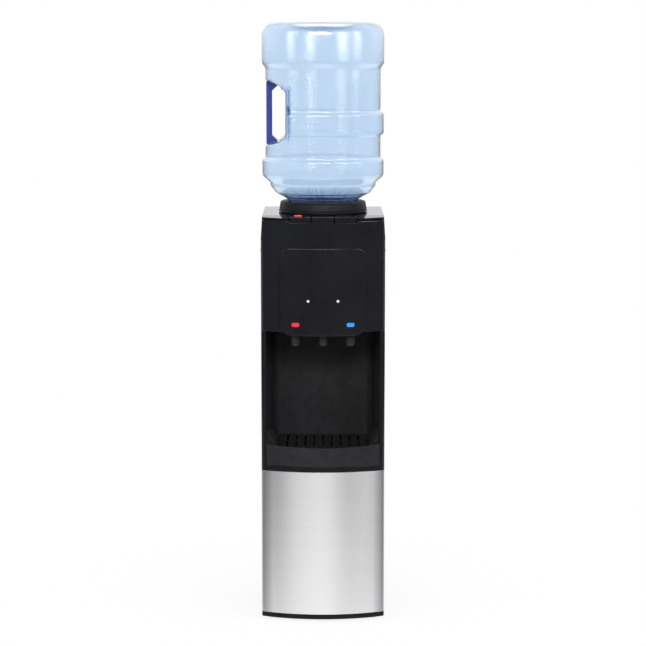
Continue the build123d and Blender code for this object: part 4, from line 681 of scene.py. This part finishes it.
def make_collar():
    """Two tier collar with rounded rims, the cone that carries the bottle and the well for its neck."""
    low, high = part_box("bottle_collar")
    reach, rim, foot = high.x * 1000, high.z * 1000, low.z * 1000
    cover = rim - 25.0
    slope = 49.0 / 52.6

    def cone(r, drop):
        return cover - 18.0 + (r - 30.0) * slope - drop * math.hypot(1.0, slope)

    path = [
        (reach - 24, cone(reach - 24, 0.3), 0), (reach - 13, rim, 2.0), (reach - 4.0, rim, 5.0),
        (reach - 1.4, rim - 17.5, 1.2), (reach - 2.4, rim - 19.0, 0.5), (reach - 0.1, rim - 20.2, 0.7),
        (reach, rim - 23.0, 1.2), (reach - 2.3, rim - 24.0, 0.4), (reach - 2.3, cover + 0.6, 0),
        (reach - 11.3, cover - 6.4, 0), (79.0, cover - 6.4, 0), (79.0, foot + 20.3, 0.5),
        (76.0, foot + 20.3, 0.5), (76.0, cone(76.0, 3.3), 0), (34.0, cone(34.0, 3.3), 2.0), (34.0, foot, 1.0),
        (10.8, foot, 0), (10.8, foot + 3, 0), (31.0, foot + 3, 1.0), (31.0, cone(31.0, 0.3), 1.5),
        (reach - 24, cone(reach - 24, 0.3), 0),
    ]
    settle(turned("collar", path, segments=192, crease=50.0), "bottle_collar", material=collar_plastic)


def make_tap(node, to_rear):
    """Tap with a round cupped nozzle, its water passage, the rod's bore and the inlet nipple."""
    low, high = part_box(node)
    foot, top = low.z * 1000, high.z * 1000
    nozzle = 0.013
    x = (low.x + nozzle if to_rear else high.x - nozzle) * 1000
    y = (low.y + nozzle) * 1000
    shape = bmesh.new()
    path = [
        (0, top - 17, 0), (3.08, top - 17, 0), (3.08, top, 0.3), (10, top, 1.0), (13, top - 8, 1.5),
        (13, foot + 36.8, 0.4), (11, foot + 36.8, 0), (11, foot + 9.5, 6.0), (9.0, foot, 4.6),
        (6.0, foot, 0.5), (6.0, foot + 77, 0), (0, foot + 77, 0),
    ]
    spin_into(shape, path, (x / 1000, y / 1000, 0), segments=64)
    inlet = foot + 74.0
    start = Vector((x, y, inlet))
    way = Vector((0, 1, 0)) if to_rear else Vector((-1, 0, 0))
    tube_into(shape, [(start + way * 12) / 1000, (start + way * 18) / 1000], 5.0, 24)
    settle(finished_shape(node + "_turned", shape), node, material=nozzle_plastic)


def make_foot(node):
    """Levelling foot: a grooved pad and its stud."""
    low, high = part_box(node)
    place = ((low.x + high.x) / 2, (low.y + high.y) / 2, 0)
    path = [(0, 0, 0), (12.2, 0, 0), (13, 0.8, 0.4), (13, 2.6, 0.2), (12.4, 3.0, 0.2), (12.4, 3.6, 0.2),
            (13, 4.0, 0.2), (13, 7, 1.0), (11, 9.7, 0.6), (4, 9.7, 0), (4, 28, 0.5), (0, 28, 0)]
    foot = turned(node + "_turned", path, place, segments=96, ribs=24, rib_depth=0.0006, rib_from=0.0118)
    settle(foot, node)


def make_plinth():
    """Rounded skirt under the base, along the bowed front and the sides."""
    low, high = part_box("base_plate")
    half, front, rear = side_reach * 1000, low.y * 1000, high.y * 1000
    bow = 28.0

    def plan(inset):
        h = half - inset
        radius = (h * h + bow * bow) / (2 * bow)
        turn = math.asin(h / radius)
        points = [(radius * math.sin(a), front + inset + radius * (1 - math.cos(a)))
                  for a in (turn * (k / 20 - 1) for k in range(3, 38))]
        corner = [(h, front + bow + 4), (h, rear - inset), (-h, rear - inset), (-h, front + bow + 4)]
        return points + corner

    shape = bmesh.new()
    rings = []
    skirt = [(0.15, 13.0), (0.15, 8.4), (0.9, 6.9), (2.4, 6.4), (4.0, 6.4), (4.0, 13.0), (0.15, 13.0)]
    for inset, z in skirt:
        rings.append([shape.verts.new((x / 1000, y / 1000, z / 1000)) for x, y in plan(inset)])
    skin(shape, rings)
    settle(finished_shape("plinth_skirt", shape, crease=50.0), body="cabinet", slot="black_satin",
           material=base_plastic)


def make_sills():
    """Sloping ends of the bay's floor, from the back of the frame forward to the tray's front."""
    tray_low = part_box("drip_tray")[0]
    back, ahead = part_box("front_frame")[1].y * 1000, tray_low.y * 1000 + 28.4
    rail = tray_low.z * 1000
    inner, outer = 104.3, 126.9
    section = [(inner, rail + 1), (inner, rail + 41.0), (outer, rail + 78.6), (outer, rail + 1)]
    for side in (-1, 1):
        shape = bmesh.new()
        prism_into(shape, section, lambda u, v, end: (side * u, ahead + (back - ahead) * end, v))
        piece = finished_shape("bay_sill_left" if side < 0 else "bay_sill_right", shape)
        settle(round_edges(piece, 0.0005), body="cabinet", slot=slot_of["bay_liner"], material=bay_black)


bay_black = finish("bay_side_moulding", (0.010, 0.010, 0.011), 0.26, specular=0.4, relief=0.03)
make_collar()
for node in ("hot_tap", "room_tap", "cold_tap"):
    make_tap(node, to_rear=node != "hot_tap")
for node in frame["nodes"]:
    if node.startswith("foot_"):
        make_foot(node)
make_plinth()


# Cooling circuit, hoses and fittings behind the panels, in millimetres

pump_y = 50.0
suction_y, suction_z = 65.0, 150.0
discharge_y, discharge_z = 35.0, 110.0
port_root, port_reach = 50.0, 75.0
coil_y, coil_low, coil_pitch, coil_half, coil_runs = 155.9, 345.0, 65.0, 75.0, 7
coil_top = coil_low + coil_pitch * (coil_runs - 1)
drier_x, drier_y, drier_low, drier_high = -108.0, 100.0, 110.0, 200.0
inner_y = 112.0
evaporator_x, evaporator_y, evaporator_z = 12.0, 77.0, 780.0
tap_x, tap_y, tap_rear, tap_inlet_z = 61.0, -128.0, -110.0, 700.0
hot_y, hot_bottom, hot_outlet_z = 75.6, 429.3, 642.0
fitting_z, drain_outlet_x, gland_x = 290.0, -75.0, 90.0


def plate_outline(half_x, half_y, corner):
    """Outline of a plate with rounded corners."""
    points = []
    for start, sx, sy in ((0, 1, 1), (90, -1, 1), (180, -1, -1), (270, 1, -1)):
        for k in range(7):
            angle = math.radians(start + 15 * k)
            points.append((sx * half_x + corner * math.cos(angle), sy * half_y + corner * math.sin(angle)))
    return points


def make_compressor():
    """Hermetic compressor: domed can with its weld seam, plate, relay box and two ports."""
    plate_low, can = 30.0, 33.0
    shape = bmesh.new()
    path = [(0, can, 0), (58, can, 3), (64, can + 10, 5), (64, can + 69, 0.5), (67, can + 70, 0.8),
            (67, can + 73, 0.8), (64, can + 74, 0.5), (64, can + 152, 38), (0, can + 152, 0)]
    spin_into(shape, path, (0, pump_y / 1000, 0), segments=128)
    for y, z in ((suction_y, suction_z), (discharge_y, discharge_z)):
        ends = [Vector((x / 1000, y / 1000, z / 1000)) for x in (port_root, port_reach)]
        tube_into(shape, ends, 3.0, 20)
    shell = finished_shape("compressor_can", shape)
    flat = bmesh.new()
    prism_into(flat, plate_outline(58, 52, 12),
               lambda u, v, end: (u, pump_y + v, plate_low + (can - plate_low) * end))
    relay_box = [(-82, 30), (-50, 30), (-50, 70), (-82, 70)]
    prism_into(flat, relay_box, lambda u, v, end: (u, v, can + 24 + 40 * end))
    plate_and_box = round_edges(finished_shape("compressor_box", flat), 0.0012, 3)
    settle(joined("compressor_finished", [shell, plate_and_box]), "compressor")


def joined(name, pieces):
    """Several meshes as one piece."""
    shape = bmesh.new()
    for piece in pieces:
        shape.from_mesh(piece.data)
        bpy.data.objects.remove(piece)
    mesh = bpy.data.meshes.new(name)
    shape.to_mesh(mesh)
    shape.free()
    mesh.set_sharp_from_angle(angle=math.radians(40.0))
    return add_piece(name, mesh)


def wire_rows():
    """Two rows of upright wires, one on each side of the tube, from one short tree."""
    sizes = {"wires": 13, "pitch": 0.015, "radius": 0.0008, "height": 0.41, "gap": 0.0066,
             "paint": finishes["compressor_black"]}
    group, t, given = make_nodes("rows_of_wires", sizes)
    half = t.maths("MULTIPLY", t.maths("SUBTRACT", given.outputs["wires"], 1.0),
                   t.maths("MULTIPLY", given.outputs["pitch"], -0.5))
    start = t.node("ShaderNodeCombineXYZ", inputs={
        0: half, 1: t.maths("MULTIPLY", given.outputs["gap"], -0.5)})
    step = t.node("ShaderNodeCombineXYZ", inputs={0: given.outputs["pitch"]})
    row = t.node("GeometryNodeMeshLine", inputs={
        "Count": given.outputs["wires"], "Start Location": start.outputs[0], "Offset": step.outputs[0]})
    across = t.node("ShaderNodeCombineXYZ", inputs={1: given.outputs["gap"]})
    other = t.node("GeometryNodeTransform", inputs={
        "Geometry": row.outputs[0], "Translation": across.outputs[0]})
    both = t.node("GeometryNodeJoinGeometry")
    t.tree.links.new(row.outputs[0], both.inputs[0])
    t.tree.links.new(other.outputs[0], both.inputs[0])
    wire = t.node("GeometryNodeMeshCylinder", inputs={
        "Vertices": 10, "Radius": given.outputs["radius"], "Depth": given.outputs["height"]})
    put = t.node("GeometryNodeInstanceOnPoints", inputs={
        "Points": both.outputs[0], "Instance": wire.outputs[0]})
    real = t.node("GeometryNodeRealizeInstances", inputs={0: put.outputs[0]})
    painted = t.node("GeometryNodeSetMaterial", inputs={
        "Geometry": real.outputs[0], "Material": given.outputs["paint"]})
    smooth = t.node("GeometryNodeSetShadeSmooth", inputs={0: painted.outputs[0]})
    t.node("NodeGroupOutput", inputs={0: smooth.outputs[0]})
    return grown("condenser_wires", bpy.data.meshes.new("wires"), group, sizes)


def make_condenser():
    """Wire and tube condenser: a serpentine tube, two rows of wires and four straps to the back."""
    strap_x, strap_half, strap_inset, strap_drop = 60.0, 6.0, 30.0, 14.0
    panel, sheet, strap_reach = 131.0, 1.5, 151.8
    route = []
    for i in range(coil_runs):
        ends = (-coil_half, coil_half) if i % 2 == 0 else (coil_half, -coil_half)
        for k, x in enumerate(ends):
            outer = x + math.copysign(coil_pitch / 2, x)
            tube_end = (i == 0 and k == 0) or (i == coil_runs - 1 and k == 1)
            route.append((x if tube_end else outer, coil_y, coil_low + i * coil_pitch))
    shape = bmesh.new()
    tube_into(shape, bend(route, [coil_pitch / 2 - 0.2] * (len(route) - 2), 12), 2.5)
    for x in (-strap_x, strap_x):
        for z in (coil_low + strap_inset, coil_top - strap_inset):
            foot = z - strap_drop
            strap = [(panel, foot), (panel + sheet, foot), (panel + sheet, z), (strap_reach - sheet, z),
                     (strap_reach - sheet, foot), (strap_reach, foot), (strap_reach, z + sheet),
                     (panel, z + sheet)]
            prism_into(shape, strap, lambda u, v, end: (x + strap_half * (2 * end - 1), u, v))
    tube = finished_shape("condenser_tube", shape)
    wires = wire_rows()
    wires.data.transform(Matrix.Translation((0, coil_y / 1000, (coil_low + coil_top) / 2000)))
    settle(joined("condenser_finished", [tube, wires]), "condenser")


def make_lines():
    """Copper lines of the cooling circuit, bent from round tube."""
    riser_x, outer_riser_x, capillary_x = 112.0, 118.0, -122.0
    drop_z, loop_z = drier_high + 25.0, drier_low - 22.0
    discharge = [(port_reach, discharge_y, discharge_z), (outer_riser_x, discharge_y, discharge_z),
                 (outer_riser_x, coil_y, discharge_z), (outer_riser_x, coil_y, coil_top),
                 (coil_half, coil_y, coil_top)]
    liquid = [(-coil_half, coil_y, coil_low), (drier_x, coil_y, coil_low), (drier_x, coil_y, drop_z),
              (drier_x, drier_y, drop_z), (drier_x, drier_y, drier_high)]
    capillary = [(drier_x, drier_y, drier_low), (drier_x, drier_y, loop_z), (capillary_x, inner_y, loop_z),
                 (capillary_x, inner_y, evaporator_z), (-evaporator_x, inner_y, evaporator_z),
                 (-evaporator_x, evaporator_y, evaporator_z)]
    suction = [(evaporator_x, evaporator_y, evaporator_z), (evaporator_x, inner_y, evaporator_z),
               (riser_x, inner_y, evaporator_z), (riser_x, inner_y, suction_z),
               (riser_x, suction_y, suction_z), (port_reach, suction_y, suction_z)]
    shape = bmesh.new()
    for route, bends, radius in ((discharge, [12, 12, 12], 2.5), (liquid, [12, 12, 12], 2.5),
                                 (capillary, [6, 6, 12, 12], 1.5), (suction, [12, 12, 12, 12], 3.0)):
        tube_into(shape, bend(route, bends), radius, 16)
    settle(finished_shape("copper_lines", shape), "refrigerant_lines")


def make_hoses():
    """Silicone hoses between the tanks, the taps and the drain."""
    nipple_end, side_x, outlet_rise = -100.0, -114.0, 11.0
    hot_out_x, hot_in_x, drain_x = -25.0, 20.0, -20.0
    feed_x, feed_y, feed_top, feed_drop = 54.0, 36.0, 655.0, 16.0
    tap_side, outlet_y = 18.0, 118.0
    bend_z, low = hot_outlet_z + outlet_rise, hot_bottom - feed_drop
    room_stub = [(0, nipple_end, tap_inlet_z), (0, tap_rear, tap_inlet_z)]
    cold_stub = [(tap_x, nipple_end, tap_inlet_z), (tap_x, tap_rear, tap_inlet_z)]
    hot = [(hot_out_x, hot_y, hot_outlet_z), (hot_out_x, hot_y, bend_z), (side_x, hot_y, bend_z),
           (side_x, hot_y, tap_inlet_z), (side_x, tap_y, tap_inlet_z),
           (-tap_x - tap_side, tap_y, tap_inlet_z)]
    feed = [(feed_x, feed_y, feed_top), (feed_x, feed_y, low), (hot_in_x, hot_y, low),
            (hot_in_x, hot_y, hot_bottom)]
    drain = [(drain_x, hot_y, hot_bottom), (drain_x, hot_y, fitting_z), (drain_outlet_x, hot_y, fitting_z),
             (drain_outlet_x, outlet_y, fitting_z)]
    shape = bmesh.new()
    for route, bends in ((room_stub, []), (cold_stub, []), (hot, [9, 15, 15, 15]), (feed, [15, 9]),
                         (drain, [15, 15])):
        tube_into(shape, bend(route, bends), 5.0, 20)
    settle(finished_shape("silicone_hoses", shape), "water_hoses")


def make_spring(node):
    """Helical return spring of round wire, its ends inside the solid's height."""
    low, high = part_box(node)
    x, y = (low.x + high.x) / 2, (low.y + high.y) / 2
    wire, reach, turns, steps = 0.0006, 0.0046, 4, 24
    rise = high.z - low.z - 2 * wire
    path = []
    for k in range(turns * steps + 1):
        angle = 2 * math.pi * k / steps
        path.append(Vector((x + reach * math.cos(angle), y + reach * math.sin(angle),
                            low.z + wire + rise * k / (turns * steps))))
    shape = bmesh.new()
    tube_into(shape, path, wire * 1000, 10)
    settle(finished_shape(node + "_coil", shape), node)


def make_rear_fittings():
    """Filter drier, ribbed drain cap and cord gland."""
    drier = [(0, drier_low, 0), (4, drier_low, 0.5), (9, drier_low + 12, 2), (9, drier_high - 12, 2),
             (4, drier_high, 0.5), (0, drier_high, 0)]
    settle(turned("drier_body", drier, (drier_x / 1000, drier_y / 1000, 0), segments=64), "filter_drier")
    to_rear = Matrix.Rotation(math.radians(-90.0), 3, "X")
    cap = [(8.08, 133.3, 0.2), (13, 133.3, 0.6), (13, 143.8, 0.8), (10.2, 146.3, 0.8), (0, 146.3, 0),
           (0, 144.3, 0), (8.08, 144.3, 0), (8.08, 133.3, 0)]
    settle(turned("ribbed_drain_cap", cap, (drain_outlet_x / 1000, 0, fitting_z / 1000), turn=to_rear,
                  segments=144, ribs=24, rib_depth=0.0007, rib_from=0.0125), "drain_cap")
    gland = [(4, 127, 0.3), (11, 127, 0.6), (11, 130, 0.3), (9, 130, 0), (9, 131, 0), (11, 131, 0.3),
             (9.5, 133, 0.4), (9.8, 133.6, 0.3), (6, 136, 0.8), (4, 136, 0.4), (4, 127, 0)]
    settle(turned("spool_gland", gland, (gland_x / 1000, 0, fitting_z / 1000), turn=to_rear, segments=72),
           "cord_gland")


def make_screws():
    """Pan head screws with a cross recess, put on marked points by one short tree."""
    sizes = {"head": 0.0035, "rise": 0.0010, "shank": 0.00175, "length": 0.006, "cross": 0.0038,
             "paint": finishes["screw_steel"]}
    group, t, given = make_nodes("cross_head_screws", sizes)
    size = given.outputs
    crown = t.node("GeometryNodeMeshCone", inputs={
        "Vertices": 32, "Radius Top": t.maths("MULTIPLY", size["head"], 0.72), "Radius Bottom": size["head"],
        "Depth": size["rise"]})
    bars = []
    for turn in (0.0, math.pi / 2):
        bar_size = t.node("ShaderNodeCombineXYZ", inputs={
            0: size["cross"], 1: t.maths("MULTIPLY", size["cross"], 0.2), 2: size["rise"]})
        bar = t.node("GeometryNodeMeshCube", inputs={"Size": bar_size.outputs[0]})
        up = t.node("ShaderNodeCombineXYZ", inputs={2: size["rise"]})
        bars.append(t.node("GeometryNodeTransform", inputs={
            "Geometry": bar.outputs[0], "Rotation": (0, 0, turn), "Translation": up.outputs[0]}))
    cut = t.node("GeometryNodeMeshBoolean", operation="DIFFERENCE")
    t.tree.links.new(crown.outputs[0], cut.inputs[0])
    for bar in bars:
        t.tree.links.new(bar.outputs[0], cut.inputs[1])
    pin = t.node("GeometryNodeMeshCylinder", inputs={
        "Vertices": 20, "Radius": size["shank"], "Depth": size["length"]})
    down = t.node("ShaderNodeCombineXYZ", inputs={2: t.maths("MULTIPLY", size["length"], -0.5)})
    shank = t.node("GeometryNodeTransform", inputs={
        "Geometry": pin.outputs[0], "Translation": down.outputs[0]})
    screw = t.node("GeometryNodeJoinGeometry")
    t.tree.links.new(cut.outputs[0], screw.inputs[0])
    t.tree.links.new(shank.outputs[0], screw.inputs[0])
    facing = t.node("GeometryNodeInputNamedAttribute", data_type="FLOAT_VECTOR", inputs={"Name": "facing"})
    turned_to = t.node("FunctionNodeAlignRotationToVector", axis="Z", inputs={"Vector": facing.outputs[0]})
    put = t.node("GeometryNodeInstanceOnPoints", inputs={
        "Points": size["geometry"], "Instance": screw.outputs[0], "Rotation": turned_to.outputs[0]})
    real = t.node("GeometryNodeRealizeInstances", inputs={0: put.outputs[0]})
    painted = t.node("GeometryNodeSetMaterial", inputs={
        "Geometry": real.outputs[0], "Material": size["paint"]})
    t.node("NodeGroupOutput", inputs={0: painted.outputs[0]})
    panel_side, side_y, side_z = 0.138, (-0.105, 0.110), 0.838
    rear_x, panel_rear, rear_z = 0.131, 0.131, (0.300, 0.800)
    points = [((side * panel_side, y, side_z), (side, 0, 0)) for side in (-1, 1) for y in side_y]
    points += [((side * rear_x, panel_rear, z), (0, 1, 0)) for side in (-1, 1) for z in rear_z]
    mesh = bpy.data.meshes.new("screw_points")
    mesh.from_pydata([place for place, way in points], [], [])
    marks = mesh.attributes.new("facing", "FLOAT_VECTOR", "POINT")
    for mark, (place, way) in zip(marks.data, points):
        mark.vector = way
    settle(grown("cabinet_screws_finished", mesh, group, sizes), "cabinet_screws")


make_compressor()
make_condenser()
make_lines()
make_hoses()
for node in ("hot_spring", "room_spring", "cold_spring"):
    make_spring(node)
make_rear_fittings()
make_screws()


# Mouldings and sheets made from the solids' own shapes

moulded("front_frame", 0.0007, widen=(post_edge, mould_half, side_reach))
moulded("steel_front_panel", 0.0003, widen=(sheet_edge, mould_half, side_reach))
make_sills()
moulded("base_plate", 0.0008, widen=(sheet_edge, mould_half, side_reach), material=base_plastic)
moulded("top_cover", 0.0012, material=cover_gloss)
moulded("drip_grille", 0.0004, material=shaded_grille_black)
moulded("side_panel_left", 0.0003, material=side_paint)
moulded("side_panel_right", 0.0003, material=side_paint)
rounded_edges = {
    "upper_fascia": 0.0008, "control_panel": 0.0008, "bay_liner": 0.0012, "drip_tray": 0.0010,
    "hot_key": 0.0006, "room_key": 0.0006, "cold_key": 0.0006, "child_lock": 0.0005,
    "hot_marker": 0.0002, "cold_marker": 0.0002, "indicator_lenses": 0.0002,
    "back_panel": 0.0003, "bottle_handle": 0.0030, "switch_housings": 0.0004, "hot_switch_rocker": 0.0003,
    "cold_switch_rocker": 0.0003, "drain_outlet": 0.0002, "bottle_cap": 0.0005,
}
for node, radius in rounded_edges.items():
    moulded(node, radius)

for node, solid in frame["nodes"].items():
    if not solid.hide_render:
        solid.data.materials.clear()
        solid.data.materials.append(finishes[slot_of[node]])
